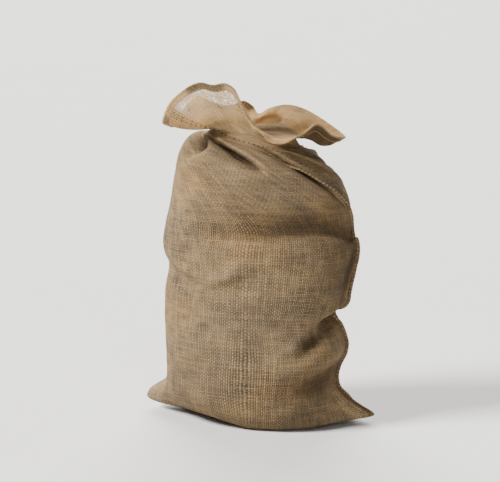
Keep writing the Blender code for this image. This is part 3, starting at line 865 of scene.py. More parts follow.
class Weaver:
    """Gathers rings of points into one mesh, with the cloth's coordinates at every corner.

    Its fields are what the cloth carries at each point: how open its weave is, how much of the
    hem's painted shade it gets, how far it is one layer that stands free, and its painted shade,
    which is negative where light is painted.
    """

    FIELDS = ("open_weave", "hem", "one_layer", "grime")

    def __init__(self, share: Array) -> None:
        """Starts with nothing.

        Args:
            share: Share round the girth of each column of the finest rings.
        """
        self.share = np.append(share, 1.0)
        self.points: list[Array] = []
        self.fields: dict[str, list[Array]] = {name: [] for name in self.FIELDS}
        self.faces: list[tuple[int, ...]] = []
        self.corners: list[tuple[float, float]] = []
        self.count = 0

    def ring(self, points: Array, **given: float | Array) -> Array:
        """Adds a ring of points.

        Args:
            points: The points in metres, clockwise from above on the outer face.
            given: Its fields, by name.  Those left out are 0.

        Returns:
            Their numbers in the mesh.
        """
        self.points.append(points)
        for name, values in self.fields.items():
            values.append(np.broadcast_to(given.get(name, 0.0), len(points)))
        self.count += len(points)
        return np.arange(self.count - len(points), self.count)

    def columns(self, count: int) -> Array:
        """Place across the cloth, in metres, of each column of a ring of so many points."""
        return self.share[::(len(self.share) - 1) // count] * GIRTH * MM

    def face(self, numbers: tuple[int, ...], corners: tuple[tuple[float, float], ...]) -> None:
        """Adds a face, given clockwise from outside."""
        self.faces.append(tuple(int(number) for number in reversed(numbers)))
        self.corners.extend(reversed(corners))

    def strip(self, low: Array, high: Array, v_low: Array, v_high: Array) -> None:
        """Joins two rings.

        Args:
            low: Numbers of the first ring's points, as many as the second's or twice as many.
            high: Numbers of the second ring's points.
            v_low: Place along the cloth of the first ring's points.
            v_high: The same for the second.
        """
        v_low, v_high = np.broadcast_to(v_low, len(low)), np.broadcast_to(v_high, len(high))
        place = self.columns(len(high))
        ratio = len(low) // len(high)
        for k in range(len(high)):
            after = (k + 1) % len(high)
            u, u_after = place[k], place[k + 1]
            first, last = k * ratio, (k * ratio + ratio) % len(low)
            top = ((u, v_high[k]), (u_after, v_high[after]))
            if ratio == 1:
                self.face((low[first], low[last], high[after], high[k]),
                          ((u, v_low[first]), (u_after, v_low[last]), top[1], top[0]))
                continue
            middle, u_middle = first + 1, (u + u_after) / 2
            foot = ((u, v_low[first]), (u_middle, v_low[middle]), (u_after, v_low[last]))
            self.face((low[first], low[middle], high[k]), (foot[0], foot[1], top[0]))
            self.face((low[middle], high[after], high[k]), (foot[1], top[1], top[0]))
            self.face((low[middle], low[last], high[after]), (foot[1], foot[2], top[1]))

    def cap(self, ring: Array, pole: Array, v_ring: float, v_pole: float, first: bool) -> None:
        """Closes a ring with a fan to one point.

        Args:
            ring: Numbers of its points.
            pole: The point.
            v_ring: Place along the cloth of the ring.
            v_pole: Place along the cloth of the point.
            first: Whether the point comes before the ring.
        """
        number = self.ring(pole[None])[0]
        place = self.columns(len(ring))
        for k in range(len(ring)):
            after = (k + 1) % len(ring)
            u, u_after = place[k], place[k + 1]
            corners = ((u, v_ring), (u_after, v_ring), ((u + u_after) / 2, v_pole))
            if first:
                self.face((number, ring[after], ring[k]), (corners[2], corners[1], corners[0]))
            else:
                self.face((ring[k], ring[after], number), corners)

    def mesh(self, name: str) -> bpy.types.Mesh:
        """The mesh, with its UV map and its fields.

        Args:
            name: Name for the mesh.

        Returns:
            The mesh.
        """
        mesh = bpy.data.meshes.new(name)
        mesh.from_pydata(np.concatenate(self.points).tolist(), [], self.faces)
        layer = mesh.uv_layers.new(name="cloth")
        layer.data.foreach_set("uv", np.array(self.corners, np.float32).ravel())
        for label, values in self.fields.items():
            field = mesh.attributes.new(label, "FLOAT", "POINT")
            field.data.foreach_set("value", np.concatenate(values).astype(np.float32))
        mesh.validate()
        return mesh


def spread(start: float, end: float, count: int, *denser: tuple[float, float, float]) -> Array:
    """Steps from start to end that are closer together in some stretches.

    Args:
        start: The first step.
        end: The last step.
        count: How many steps.
        denser: Where each stretch starts and ends, and how much closer its steps are.

    Returns:
        The steps.
    """
    fine = np.linspace(start, end, 4001)
    weight = np.ones_like(fine)
    soft = 0.02
    for low, high, more in denser:
        weight += (more * ramp(fine, low - soft, low + soft)
                   * (1 - ramp(fine, high - soft, high + soft)))
    way = np.concatenate([[0.0], np.cumsum((weight[1:] + weight[:-1]) / 2)])
    return np.interp(np.linspace(0, way[-1], count), way, fine)


def ramp(value: Array | float, low: float, high: float) -> Array:
    """Soft step from 0 to 1 as the value goes from low to high."""
    here = np.clip((np.asarray(value, float) - low) / (high - low), 0, 1)
    return here * here * (3 - 2 * here)


Stretch = tuple[float, float, float, float]


def plateau(value: Array, stretch: Stretch) -> Array:
    """1 in a stretch and 0 outside it, with soft steps.

    Args:
        value: Where to read it.
        stretch: Where the step up starts and ends, and where the step down does.

    Returns:
        From 0 to 1.
    """
    return ramp(value, *stretch[:2]) * (1 - ramp(value, *stretch[2:]))


@dataclass(frozen=True)
class ClothShell:
    """The sack's one length of hessian: bottom, filled body, neck, collar and its turned hem.

    A closed shell: the outer face from the bottom up to the mouth, and the inner face back down.
    Painted shade and painted light are in the units of the field that carries them.
    """

    form: SackForm
    columns: int = 356
    foot_rows: int = 20
    body_rows: int = 156
    collar_rows: int = 33
    inner_columns: int = 178
    foot_top: float = 0.12          # way up the body of the rows that lie close together
    # stretches where columns and rows lie closer together, and how much closer
    denser_share: tuple[float, float, float] = (0.0, 0.24, 0.9)
    denser_along: tuple[tuple[float, float, float], ...] = ((0.54, 0.61, 0.8), (0.76, 0.92, 0.9))
    bottom_rings: tuple[float, ...] = (0.25, 0.5, 0.72, 0.88)
    lining_rings: tuple[float, ...] = (0.75, 0.5, 0.25)
    lining_top: float = 0.975       # way up the body at which the inner face starts
    lining_pinch: tuple[float, float] = (0.86, 0.97)    # where the twist draws it together
    crease_room: float = 3.5        # how much further in the inner face lies in a deep crease
    deep_crease: float = 8.0
    throat_floor: float = 0.30      # way up the collar at which the twist closes the mouth
    throat_rings: int = 10
    throat_hole: float = 0.02       # what the twist leaves open, as a share of the neck
    throat_off: tuple[float, float, float] = (-40.0, -8.0, 0.0)   # where it closes, off the middle
    throat_dip: float = 6.0
    pleats: int = 9
    pleat_height: float = 0.7 * MM
    painted_light: float = 0.50             # how much paler the empty cloth above the neck is painted
    floor_painted_light: float = 0.25       # and how much of that is left where the twist closes it
    # where the painted light fades in towards the neck
    neck_fade: tuple[float, float] = (0.83, 0.94)
    # how much darker the cloth is towards the bottom, and where that fades out
    foot_shade: float = 0.20
    foot_fade: tuple[float, float] = (0.02, 0.26)
    # parts of the collar, as shares round the girth, and the painted shade on them
    see_through: Stretch = (0.755, 0.785, 0.960, 0.985)
    tip: Stretch = (0.505, 0.53, 0.66, 0.70)
    tip_shade: float = 0.62
    lobe_shade: float = 0.18        # more of it, below the tip's hem
    fan_top: Stretch = (0.855, 0.875, 0.93, 0.95)
    fan_top_shade: float = 0.42
    fan_start: tuple[float, float] = (0.70, 0.75)
    hem_end: Stretch = (0.987, 0.990, 0.997, 0.999)
    hem_end_shade: float = 1.0
    pale_hem_sides: float = 0.85          # less painted shade on the hem at the fan's two sides
    hem_solid: float = 0.85         # how much less light the hem's two layers let through

    def build(self, material: Material) -> Piece:
        """Makes the cloth.

        Args:
            material: Its finish.

        Returns:
            The piece.
        """
        share = spread(0.0, 1.0, self.columns + 1, self.denser_share)[:-1]
        weaver = Weaver(share)
        alongs = np.concatenate([np.linspace(0, self.foot_top, self.foot_rows + 1)[:-1],
                                 spread(self.foot_top, 1.0, self.body_rows - self.foot_rows,
                                        *self.denser_along)])
        body = list(self.form.crumpled(share[None], alongs[:, None], 0.0))
        heights = np.array([np.linalg.norm(high - low, axis=-1).mean()
                            for low, high in zip(body, body[1:])])
        middle = body[0].mean(0)
        bottom = [middle + (body[0] - middle) * size for size in (*self.bottom_rings, 1.0)]
        foot = np.array([np.linalg.norm(ring - body[0], axis=-1).mean() for ring in bottom])
        v_body = np.concatenate([-foot[:-1], [0.0], np.cumsum(heights)])
        # painted shade in the creases and painted light on some crests, darker towards the bottom,
        # and painted light towards the neck
        grime = self.form.crease_fields(*np.broadcast_arrays(share[None], alongs[:, None]))[1]
        grime = grime * np.clip((1 - alongs) / 0.06, 0, 1)[:, None]
        grime += (self.foot_shade * (1 - ramp(alongs, *self.foot_fade))
                  - self.painted_light * ramp(alongs, *self.neck_fade))[:, None]
        rings = [weaver.ring(points) for points in bottom[:-1]]
        rings += [weaver.ring(points, grime=dark) for points, dark in zip(body, grime)]
        weaver.cap(rings[0], middle, v_body[0], -foot.max() * 1.3, first=True)
        for k in range(len(rings) - 1):
            weaver.strip(rings[k], rings[k + 1], v_body[k], v_body[k + 1])
        last = self.collar(weaver, share, rings[-1])
        self.lining(weaver, share, alongs, last, v_body[-1])
        return mesh_object("Hessian_sack_cloth", weaver.mesh("Hessian_sack_cloth"), material)

    def collar_levels(self, hem: Array) -> list[tuple[Array, float, float]]:
        """Rows of the collar: up its outer face, over the turned hem and down its inner face.

        Args:
            hem: The hem's share of the wall at each column.

        Returns:
            For each row, its way up the wall, its lift off the outer face and how far it stands
            past the edge, both in millimetres.
        """
        thin, thick, whole = -CLOTH_THICKNESS, HEM_RAISE, 1 + 0 * hem
        rows = [((1 - hem) * up, 0.0, 0.0) for up in np.linspace(0, 1, self.collar_rows)[1:]]
        rows += [(1 - hem * 0.985, 0.75 * thick, 0.0), (1 - hem * 0.94, thick, 0.0)]
        rows += [(1 - hem * way, thick * 1.1, 0.0) for way in (0.75, 0.5, 0.25)]
        rows += [(1 - hem * 0.06, thick, 0.0), (whole, 0.75 * thick, 0.7)]
        rows += [(whole, 0.1, 1.0), (whole, 0.8 * thin, 0.6), (1 - hem * 0.06, thin, 0.0)]
        rows += [(self.throat_floor + (1 - hem * 0.06 - self.throat_floor) * up, thin, 0.0)
                 for up in 1 - np.linspace(0, 1, self.collar_rows)[1:]]
        return rows

    def collar(self, weaver: Weaver, share: Array, neck: Array) -> tuple[Array, Array]:
        """Adds the collar's outer face, its hem and its inner face down to the throat.

        Args:
            weaver: Takes the rings.
            share: Share of each column.
            neck: The ring at the neck.

        Returns:
            The last ring, at the throat, and its v.
        """
        form = self.form
        rise = form.skin(share, 2.0) - form.skin(share, 1.98)
        rise = rise / lengths(rise) * MM
        rows = self.collar_levels(form.hem_share(share))
        rim = self.collar_rows + 6
        ups = np.stack([up for up, _, _ in rows])
        lifts = np.array([lift for _, lift, _ in rows])
        beyond = np.array([way for _, _, way in rows])
        points = form.crumpled(share[None], 1 + ups, lifts[:, None]) + rise * beyond[:, None, None]
        path = np.cumsum(np.linalg.norm(np.diff(points, axis=0), axis=-1), axis=0)
        path = np.concatenate([np.zeros((1, len(share))), path])
        v_rows = CLOTH_LENGTH * MM - np.abs(path - path[rim])
        previous = neck
        v_previous = v_rows[0] - np.linalg.norm(points[0] - weaver.points[-1], axis=-1)
        for k, up in enumerate(ups):
            hemmed = float(self.collar_rows - 1 <= k <= rim + 3)
            within = float(self.collar_rows + 1 <= k <= self.collar_rows + 3)
            inside = lifts[k] < 0
            band = hemmed * (1 - self.pale_hem_sides * self.side_of_fan(share))
            free = ramp(up, 0.08, 0.30) * (1 - (not inside) * plateau(share, self.tip))
            number = weaver.ring(points[k], open_weave=(1 - hemmed) * self.open_weave(share, up),
                                 hem=band, one_layer=(1 - self.hem_solid * band) * free,
                                 grime=self.shaded(share, up, inside, within))
            weaver.strip(previous, number, v_previous, v_rows[k])
            previous, v_previous = number, v_rows[k]
        return previous, v_previous

    def open_weave(self, share: Array, up: Array) -> Array:
        """How open the weave is, from 0 to 1: only the tall near fan is seen through."""
        return plateau(share, self.see_through) * ramp(up, 0.30, 0.50)

    def side_of_fan(self, share: Array) -> Array:
        """How far this is one of the fan's two sides, where the hem gets little painted shade."""
        return ramp(share, *self.fan_start) * (1 - plateau(share, self.fan_top))

    def shaded(self, share: Array, up: Array, inside: bool, hemmed: float) -> Array:
        """Painted shade on the collar's cloth against the body's, negative where light is painted.

        Args:
            share: Share round the girth.
            up: Way up the collar.
            inside: Whether this is the inner face.
            hemmed: 1 within the hem's width, 0 elsewhere.

        Returns:
            The painted shade.  Inside it is painted light, less of it towards the throat.
            Outside it is painted light, with painted shade under the right tip, along the fan's top
            and in the open end of the hem at the left tip.
        """
        if inside:
            # painted light on the inner face, less of it near the throat
            low = 1 - ramp(up, self.throat_floor, self.throat_floor + 0.25)
            return -(self.painted_light - (self.painted_light - self.floor_painted_light) * low)
        # painted shade under the right tip, along the fan's top and in the hem's open end, on
        # painted light elsewhere
        edge = 0.30 * ramp(share, 0.60, 0.66)
        lobe = 1 - ramp(up, 0.84, 0.90)
        top = plateau(share, self.fan_top) * ramp(up, 0.80, 0.92)
        tube = plateau(share, self.hem_end) * hemmed
        return ((self.tip_shade + self.lobe_shade * lobe + self.painted_light) * plateau(share, self.tip)
                * (1 - ramp(up, 0.975 - edge, 0.995 - edge)) + self.fan_top_shade * top
                + self.hem_end_shade * tube - self.painted_light)

    def throat(self, weaver: Weaver, share: Array,
               last: tuple[Array, Array]) -> tuple[Array, Array]:
        """Adds the pinched throat, from the collar's inner face to the hole that the twist leaves.

        Args:
            weaver: Takes the rings.
            share: Share of each column of the inner face.
            last: The collar's last inner ring and its v.

        Returns:
            The throat's last ring and its v.
        """
        previous, v_previous = last
        base = weaver.points[-1]
        middle = base.mean(0) + np.array(self.throat_off) * MM
        base = base[::self.columns // self.inner_columns]
        sizes = (*(size / self.throat_rings for size in range(self.throat_rings - 1, 0, -1)),
                 self.throat_hole)
        for size in sizes:
            wave = np.sin(2 * np.pi * self.pleats * share + 9 * size) * self.pleat_height
            ring = middle + (base - middle) * size
            ring[:, 2] += wave * size * (1 - size) * 4 - self.throat_dip * MM * (1 - size) ** 2
            # painted light in the throat
            number = weaver.ring(ring, grime=-self.floor_painted_light)
            v_here = v_previous[::len(v_previous) // len(ring)] - 0.1 * lengths(base - middle)[:, 0]
            weaver.strip(previous, number, v_previous, v_here)
            previous, v_previous = number, v_here
        return previous, v_previous

    def lining(self, weaver: Weaver, share: Array, alongs: Array, last: tuple[Array, Array],
               v_neck: float) -> None:
        """Adds the throat, the body's inner face and the bottom's.

        Args:
            weaver: Takes the rings.
            share: Share of each column.
            alongs: Way up the body of each of its outer rings.
            last: The collar's last inner ring and its v.
            v_neck: Cloth from the bottom to the neck.
        """
        share = share[::self.columns // self.inner_columns]
        previous, v_previous = self.throat(weaver, share, last)
        inner = alongs[alongs < self.lining_top][::-2]
        depth = self.form.crease_fields(*np.broadcast_arrays(share[None], inner[:, None]))[0]
        deep = np.clip(np.abs(depth) / self.deep_crease, 0, 1)
        rings = self.form.crumpled(share[None], inner[:, None],
                                   -CLOTH_THICKNESS - self.crease_room * deep)
        for along, ring in zip(inner, rings):
            size = 1 - (1 - self.throat_hole) * ramp(along, *self.lining_pinch)
            ring = ring.mean(0) + (ring - ring.mean(0)) * size
            ring[:, 2] = np.maximum(ring[:, 2], CLOTH_THICKNESS * MM)
            number = weaver.ring(ring)
            v_here = np.full(len(share), v_neck * along)
            weaver.strip(previous, number, v_previous, v_here)
            previous, v_previous = number, v_here
        middle, step = ring.mean(0), 0.03
        for size in self.lining_rings:
            number = weaver.ring(middle + (ring - middle) * size)
            weaver.strip(previous, number, v_previous, v_previous - step)
            previous, v_previous = number, v_previous - step
        weaver.cap(previous, middle, v_previous[0], v_previous[0] - step, first=False)


@dataclass(frozen=True)
class SeamAllowance:
    """The two layers of cloth that stand outside the side seam.

    They end where the twist gathers them in, under the neck.
    """

    form: SackForm
    rows: int = 420
    start: float = 0.012
    end: float = 0.885
    # Way along, width and lean towards the front, one row a change.
    shape: Curves = Curves(("along", "width", "lean"), (
        (0.00, 11.0,   0.0), (0.05, 11.0,   0.0), (0.10,  9.0,   0.0), (0.20,  8.0,   6.0),
        (0.40,  8.0,   6.0), (0.60,  8.0,   6.0), (0.68,  5.0,   0.0), (0.80,  3.5,  -8.0),
        (0.88,  0.6,  -8.0), (1.00,  0.6,   0.0), (2.00,  0.6,   0.0)))
    # Across the two layers: side of the middle in half thicknesses, and share of the width.
    section: tuple[tuple[float, float], ...] = (
        (-1.7, -0.12), (-1.05, 0.25), (-1.0, 0.60), (-1.0, 0.90), (-0.75, 1.0), (-0.25, 0.99),
        (0.0, 0.90), (0.25, 0.99), (0.75, 1.0), (1.0, 0.90), (1.0, 0.60), (1.05, 0.25),
        (1.7, -0.12))
    level_below: float = 0.10       # way along below which it stands out level
    smoothing: int = 6
    waviness: float = 0.10          # unevenness of its width, as a share of it
    sway: float = 0.9 * MM          # how far its edge sways to either side

    def spine(self, alongs: Array) -> dict[str, Array]:
        """What the allowance is built on.

        Args:
            alongs: Way along the cloth of each row.

        Returns:
            For each row its foot, its direction out, its direction to the side, its width and how
            far its edge sways to that side.
        """
        zero = np.zeros_like(alongs)
        form = self.form
        foot = form.crumpled(zero, alongs, 0.0)
        out = form.normals(zero, alongs, reach=0.012)
        run = form.skin(zero + 0.006, alongs) - form.skin(zero - 0.006, alongs)
        run /= lengths(run)
        row = self.shape.at(alongs)
        lean = np.radians(row["lean"])[:, None]
        out = out * np.cos(lean) + run * np.sin(lean)
        out = out * (1 - (alongs < self.level_below)[:, None] * np.array([0.0, 0.0, 1.0]))
        for _ in range(self.smoothing):
            out[1:-1] = (out[:-2] + 2 * out[1:-1] + out[2:]) / 4
        out /= lengths(out)
        up = np.gradient(foot, axis=0)
        side = np.cross(out, up / lengths(up))
        wobble, sway = (
            np.array([noise.noise(Vector((along * waves, aside, 0.0))) for along in alongs])
            for waves, aside in ((46.0, 3.0), (30.0, 9.0)))
        return {"foot": foot, "out": out, "side": side / lengths(side),
                "width": row["width"] * MM * (1 + self.waviness * wobble),
                "sway": self.sway * sway}

    def build(self, material: Material) -> Piece:
        """Makes the allowance.

        Args:
            material: Its finish.

        Returns:
            The piece.
        """
        spine = self.spine(np.linspace(self.start, self.end, self.rows))
        half = SEAM_THICKNESS / 2 * MM
        section = self.section
        rings, corners = [], []
        v_rows = np.concatenate([[0.0], np.cumsum(
            np.linalg.norm(np.diff(spine["foot"], axis=0), axis=-1))])
        for k in range(self.rows):
            width = spine["width"][k]
            rings.append([spine["foot"][k] + spine["out"][k] * width * reach
                          + spine["side"][k] * (half * side + spine["sway"][k] * max(reach, 0.0))
                          for side, reach in section])
            corners.append([(side * half + width * reach, v_rows[k]) for side, reach in section])
        count = len(section)
        faces, uvs = [], []
        for k in range(self.rows - 1):
            for j in range(count):
                after = (j + 1) % count
                faces.append((k * count + j, (k + 1) * count + j, (k + 1) * count + after,
                              k * count + after))
                uvs += [corners[k][j], corners[k + 1][j], corners[k + 1][after], corners[k][after]]
        for row, order in ((0, range(count)), (self.rows - 1, reversed(range(count)))):
            ring = [row * count + j for j in order]
            faces.append(tuple(ring))
            uvs += [corners[row][number - row * count] for number in ring]
        mesh = bpy.data.meshes.new("Side_seam_allowance")
        mesh.from_pydata(np.array(rings).reshape(-1, 3).tolist(), [], faces)
        layer = mesh.uv_layers.new(name="cloth")
        layer.data.foreach_set("uv", np.array(uvs, np.float32).ravel())
        outwards(mesh)
        return mesh_object("Side_seam_allowance", mesh, material)


def outwards(mesh: bpy.types.Mesh) -> None:
    """Turns a closed mesh's faces to point out."""
    work = bmesh.new()
    work.from_mesh(mesh)
    bmesh.ops.recalc_face_normals(work, faces=work.faces[:])
    work.to_mesh(mesh)
    work.free()


# --- sewing -----------------------------------------------------------------------------------

@dataclass(frozen=True)
class ThreadFinish:
    """Jute sewing thread, paler than the cloth."""

    name: str = "Jute_thread"
    tone: tuple[float, float, float] = (0.52, 0.39, 0.235)
    shade: tuple[float, float, float] = (0.30, 0.205, 0.11)

    def build(self) -> Material:
        """Makes the material."""
        material, graph, shader, place = speckled(self.name, 900.0, 2.0, 0.9,
                                                  (0.35, self.shade), (0.65, self.tone))
        bump = graph.add("ShaderNodeBump", {"Strength": 0.6, "Distance": 0.3 * MM,
                                            "Height": graph.cloud(place, 2200.0, 1.0)})
        graph.feed(shader.inputs["Normal"], bump.outputs[0])
        return material


@dataclass(frozen=True)
class HoleFinish:
    """Painted shade for the dark inside of a needle hole."""

    name: str = "Needle_hole_shade"
    tone: tuple[float, float, float] = (0.050, 0.033, 0.020)
    rim: tuple[float, float, float] = (0.115, 0.078, 0.045)

    def build(self) -> Material:
        """Makes the material."""
        material, _, shader, _ = speckled(self.name, 700.0, 1.0, 1.0,
                                          (0.35, self.tone), (0.70, self.rim))
        shader.inputs["Specular IOR Level"].default_value = 0.0
        return material


class Mark(Enum):
    """What a row of sewing repeats."""

    STITCH = "stitch"
    HOLE = "hole"


@dataclass(frozen=True)
class SewnRow:
    """A row of one stitch or needle hole after another along a path over the cloth.

    foot is half the way between a stitch's two feet: along the path, across it, and nought.  sink
    is how deep the feet go below the path, and rise how far the bend is drawn above it.
    """

    name: str
    mark: Mark
    pitch: float
    foot: tuple[float, float, float] = (0.0, 0.0, 0.0)
    sink: float = 1.0
    rise: float = 1.5
    radius: float = 0.6
    uneven: float = 0.10
    seed: int = 3

    def tree(self) -> bpy.types.NodeTree:
        """Makes the node group that sets out the marks along a path.

        Returns:
            The group, with its inputs named.
        """
        group = bpy.data.node_groups.new(self.name + "_rows", "GeometryNodeTree")
        face = group.interface
        face.new_socket("Path", in_out="INPUT", socket_type="NodeSocketGeometry")
        for label, kind in (("Pitch", "Float"), ("Foot", "Vector"), ("Sink", "Float"),
                            ("Rise", "Float"), ("Radius", "Float"), ("Unevenness", "Float"),
                            ("Seed", "Int"), ("Finish", "Material")):
            face.new_socket(label, in_out="INPUT", socket_type="NodeSocket" + kind)
        face.new_socket("Sewing", in_out="OUTPUT", socket_type="NodeSocketGeometry")
        graph = Graph(group)
        given = graph.add("NodeGroupInput").outputs
        curve = graph.add("GeometryNodeMeshToCurve", {"Mesh": given["Path"]}).outputs[0]
        marks = graph.add("GeometryNodeResampleCurve", {"Curve": curve, "Length": given["Pitch"]},
                          mode="LENGTH").outputs[0]
        out = graph.add("GeometryNodeInputNamedAttribute", {"Name": "out"},
                        data_type="FLOAT_VECTOR").outputs[0]
        tangent = graph.add("GeometryNodeInputTangent").outputs[0]
        stand = graph.add("FunctionNodeAxesToRotation", {"Primary Axis": out,
                                                         "Secondary Axis": tangent},
                          primary_axis="Z", secondary_axis="X").outputs[0]
        turn = graph.add("FunctionNodeRandomValue",
                         {"Min": (-1.0, -1.0, -1.0), "Seed": given["Seed"]},
                         data_type="FLOAT_VECTOR").outputs[0]
        turn = graph.add("FunctionNodeEulerToRotation", {0: graph.vector_math(
            "MULTIPLY", turn, given["Unevenness"])}).outputs[0]
        stand = graph.add("FunctionNodeRotateRotation", {0: stand, 1: turn},
                          rotation_space="LOCAL").outputs[0]
        low = graph.minus(1.0, given["Unevenness"])
        size = graph.add("FunctionNodeRandomValue", {2: low, 3: 1.0, "Seed": given["Seed"]},
                         data_type="FLOAT").outputs[1]
        mark = self.hole(graph, given) if self.mark is Mark.HOLE else self.stitch(graph, given)
        rows = graph.add("GeometryNodeInstanceOnPoints", {
            "Points": marks, "Instance": mark, "Rotation": stand, "Scale": size}).outputs[0]
        rows = graph.add("GeometryNodeRealizeInstances", {0: rows}).outputs[0]
        rows = graph.add("GeometryNodeSetMaterial",
                         {0: rows, "Material": given["Finish"]}).outputs[0]
        graph.add("NodeGroupOutput", {0: rows})
        return group

    def stitch(self, graph: Graph, given: bpy.types.bpy_prop_collection) -> Socket:
        """One stitch: thread that comes up at one foot and goes down at the other.

        Args:
            graph: The group's graph.
            given: The group's inputs.

        Returns:
            The stitch's mesh.
        """
        deep = graph.triple(0.0, 0.0, graph.times(given["Sink"], -1.0))
        high = graph.triple(0.0, 0.0, given["Rise"])
        back = graph.vector_math("MULTIPLY", given["Foot"], (-1.0, -1.0, -1.0))
        bend = graph.add("GeometryNodeCurvePrimitiveBezierSegment", {
            "Resolution": 8, "Start": graph.vector_math("ADD", back, deep),
            "Start Handle": graph.vector_math("ADD", back, high),
            "End Handle": graph.vector_math("ADD", given["Foot"], high),
            "End": graph.vector_math("ADD", given["Foot"], deep)}, mode="POSITION").outputs[0]
        ring = graph.add("GeometryNodeCurvePrimitiveCircle",
                         {"Resolution": 6, "Radius": given["Radius"]}, mode="RADIUS").outputs[0]
        return graph.add("GeometryNodeCurveToMesh", {"Curve": bend, "Profile Curve": ring,
                                                     "Fill Caps": True}).outputs[0]

    def hole(self, graph: Graph, given: bpy.types.bpy_prop_collection) -> Socket:
        """One needle hole: a small dark flattened dome, painted shade for the hole's inside."""
        ball = graph.add("GeometryNodeMeshUVSphere", {"Segments": 8, "Rings": 5,
                                                      "Radius": given["Radius"]}).outputs[0]
        return graph.add("GeometryNodeTransform", {"Geometry": ball, "Scale": (1.0, 0.85, 0.35)}
                         ).outputs[0]

    def build(self, paths: list[tuple[Array, Array]], material: Material) -> Piece:
        """Sews the row.

        Args:
            paths: Points and directions out of the cloth, one pair for each path.
            material: The finish.

        Returns:
            The piece.
        """
        mesh = bpy.data.meshes.new(self.name + "_path")
        points = np.concatenate([path for path, _ in paths])
        edges, start = [], 0
        for path, _ in paths:
            edges += [(start + k, start + k + 1) for k in range(len(path) - 1)]
            start += len(path)
        mesh.from_pydata(points.tolist(), edges, [])
        field = mesh.attributes.new("out", "FLOAT_VECTOR", "POINT")
        outs = np.concatenate([out for _, out in paths]).astype(np.float32)
        field.data.foreach_set("vector", outs.ravel())
        path = bpy.data.objects.new(self.name + "_path", mesh)
        bpy.context.scene.collection.objects.link(path)
        modifier = path.modifiers.new("Sewing", "NODES")
        modifier.node_group = self.tree()
        values = {"Pitch": self.pitch * MM, "Foot": [value * MM for value in self.foot],
                  "Sink": self.sink * MM, "Rise": self.rise * MM, "Radius": self.radius * MM,
                  "Unevenness": self.uneven, "Seed": self.seed, "Finish": material}
        for item in modifier.node_group.interface.items_tree:
            if item.in_out == "INPUT" and item.name in values:
                modifier[item.identifier] = values[item.name]
        graph = bpy.context.evaluated_depsgraph_get()
        sewn = bpy.data.meshes.new_from_object(path.evaluated_get(graph))
        bpy.data.objects.remove(path)
        sewn.materials.clear()
        return mesh_object(self.name, sewn, material)


@dataclass(frozen=True)
class Sewing:
    """Every row of stitches and needle holes on the sack."""

    form: SackForm
    seam: SeamAllowance
    seam_stretch: tuple[float, float] = (0.016, 0.84)   # ways along where the oversewing ends
    hem_row: float = 0.84           # how far down the hem its stitches run
    steps: int = 900                # points along a line over the cloth
    # needle marks beside the seam and over the neck's gathers: share and along
    hole_path: tuple[tuple[float, float], ...] = (
        (-0.014, 1.86), (-0.015, 1.70), (-0.017, 1.52), (-0.019, 1.33), (-0.020, 1.15),
        (-0.024, 0.97), (-0.034, 0.93), (-0.038, 0.89), (-0.034, 0.855), (-0.024, 0.81),
        (-0.014, 0.74), (-0.011, 0.62), (-0.011, 0.10))
    hole_rows: tuple[float, ...] = (0.0, -0.0062)       # how far aside each row lies
    hole_lift: float = 0.95

    def build(self, thread: Material, shade: Material) -> list[Piece]:
        """Sews the side seam and the hem, and marks the needle holes.

        Args:
            thread: Finish of the thread.
            shade: Finish of the needle holes.

        Returns:
            The pieces.
        """
        overcast = SewnRow("Side_seam_stitches", Mark.STITCH, pitch=8.5, foot=(1.4, 1.7, 0.0),
                           sink=5.0, rise=2.3, radius=0.48, uneven=0.14)
        running = SewnRow("Hem_stitches", Mark.STITCH, pitch=7.0, foot=(2.5, 0.0, 0.0),
                          sink=0.7, rise=0.8, radius=0.45, uneven=0.08, seed=5)
        holes = SewnRow("Needle_holes", Mark.HOLE, pitch=11.0, radius=1.65, uneven=0.25, seed=8)
        return [overcast.build([self.seam_edge()], thread), running.build(self.hem_lines(), thread),
                holes.build(self.hole_lines(), shade)]

    def seam_edge(self) -> tuple[Array, Array]:
        """The allowance's outer edge, and its direction out."""
        spine = self.seam.spine(np.linspace(*self.seam_stretch, 500))
        return spine["foot"] + spine["out"] * spine["width"][:, None], spine["out"]

    def hem_lines(self) -> list[tuple[Array, Array]]:
        """The line of stitches round the hem, as it shows outside and inside."""
        share = np.linspace(0.008, 0.992, self.steps)
        along = 2 - self.form.hem_share(share) * self.hem_row
        out = self.form.normals(share, along)
        return [(self.form.crumpled(share, along, HEM_RAISE * 1.1), out),
                (self.form.crumpled(share, along, -CLOTH_THICKNESS), -out)]

    def hole_lines(self) -> list[tuple[Array, Array]]:
        """Lines of needle marks beside the side seam."""
        shares, alongs = np.array(self.hole_path).T
        along = np.linspace(alongs[0], alongs[-1], self.steps)
        lines = []
        for aside in self.hole_rows:
            share = np.interp(-along, -alongs, shares) + aside
            lines.append((self.form.crumpled(share, along, self.hole_lift),
                          self.form.normals(share, along)))
        return lines


# --- studio -----------------------------------------------------------------------------------

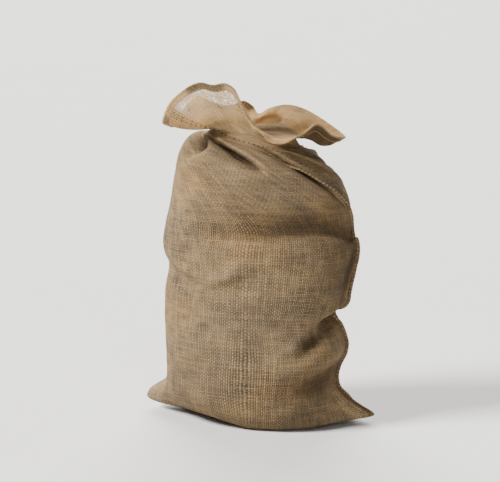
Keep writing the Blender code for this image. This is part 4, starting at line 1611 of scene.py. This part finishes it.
@dataclass(frozen=True)
class Studio:
    """Camera, pale floor and soft light."""

    azimuth: float = 12.0
    elevation: float = 13.0
    distance: float = 3.0
    aim_across: float = -0.0146     # where the camera looks, to its right of the tables' axis
    aim_height: float = 0.395
    lens: float = 100.4
    floor_size: float = 60.0
    sky: float = 0.12
    # name, direction in which it stands, angle that it fills, watts for a square metre, tint
    suns: tuple[tuple, ...] = (
        ("Key_light", (-1.0, -0.56, 0.95), 16.0, 10.3, (1.0, 0.98, 0.95)),
        ("Back_light", (-0.3, 0.9, 0.75), 60.0, 7.5, (1.0, 0.98, 0.95)),
        ("Fill_light", (0.5, -1.0, 0.55), 50.0, 0.8, (1.0, 0.99, 0.98)))

    def build(self) -> None:
        """Adds the camera, the floor and the lights."""
        self.camera()
        self.floor()
        self.lights()

    def camera(self) -> None:
        """Adds the camera."""
        turn, rise = math.radians(self.azimuth), math.radians(self.elevation)
        back = Vector((math.sin(turn) * math.cos(rise), -math.cos(turn) * math.cos(rise),
                       math.sin(rise)))
        right = Vector((math.cos(turn), math.sin(turn), 0.0))
        aim = Vector(RECENTRE) * MM + right * self.aim_across + Vector((0.0, 0.0, self.aim_height))
        data = bpy.data.cameras.new("Camera")
        data.lens = self.lens
        camera = bpy.data.objects.new("Camera", data)
        camera.location = aim + back * self.distance
        camera.rotation_euler = back.to_track_quat("Z", "Y").to_euler()
        bpy.context.scene.collection.objects.link(camera)
        bpy.context.scene.camera = camera

    def floor(self) -> None:
        """Adds the floor."""
        half = self.floor_size / 2
        mesh = bpy.data.meshes.new("Studio_floor")
        mesh.from_pydata([(-half, -half, 0), (half, -half, 0), (half, half, 0), (-half, half, 0)],
                         [], [(0, 1, 2, 3)])
        mesh_object("Studio_floor", mesh, FloorFinish().build())

    def lights(self) -> None:
        """Adds a soft key light from the upper left, one from behind, a weak fill and a sky."""
        for name, towards, softness, strength, tint in self.suns:
            data = bpy.data.lights.new(name, "SUN")
            data.angle = math.radians(softness)
            data.energy = strength
            data.color = tint
            light = bpy.data.objects.new(name, data)
            light.rotation_euler = Vector(towards).to_track_quat("Z", "Y").to_euler()
            bpy.context.scene.collection.objects.link(light)
        world = bpy.data.worlds.new("Studio_sky")
        world.use_nodes = True
        sky = world.node_tree.nodes["Background"]
        sky.inputs["Color"].default_value = (1.0, 1.0, 1.0, 1.0)
        sky.inputs["Strength"].default_value = self.sky
        bpy.context.scene.world = world


def main() -> None:
    """Builds the scene."""
    logging.basicConfig(level=logging.INFO, format="%(name)s: %(message)s")
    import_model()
    Studio().build()
    form = SackForm()
    seam = SeamAllowance(form)
    hessian = HessianFinish().build()
    cloth = ClothShell(form).build(hessian)
    trim = [seam.build(hessian),
            *Sewing(form, seam).build(ThreadFinish().build(), HoleFinish().build())]
    for piece in (cloth, *trim):
        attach(piece, BODY)
        LOG.info("%s: %d faces", piece.name, len(piece.data.polygons))
    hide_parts(CAD_NODE)


if __name__ == "__main__":
    main()
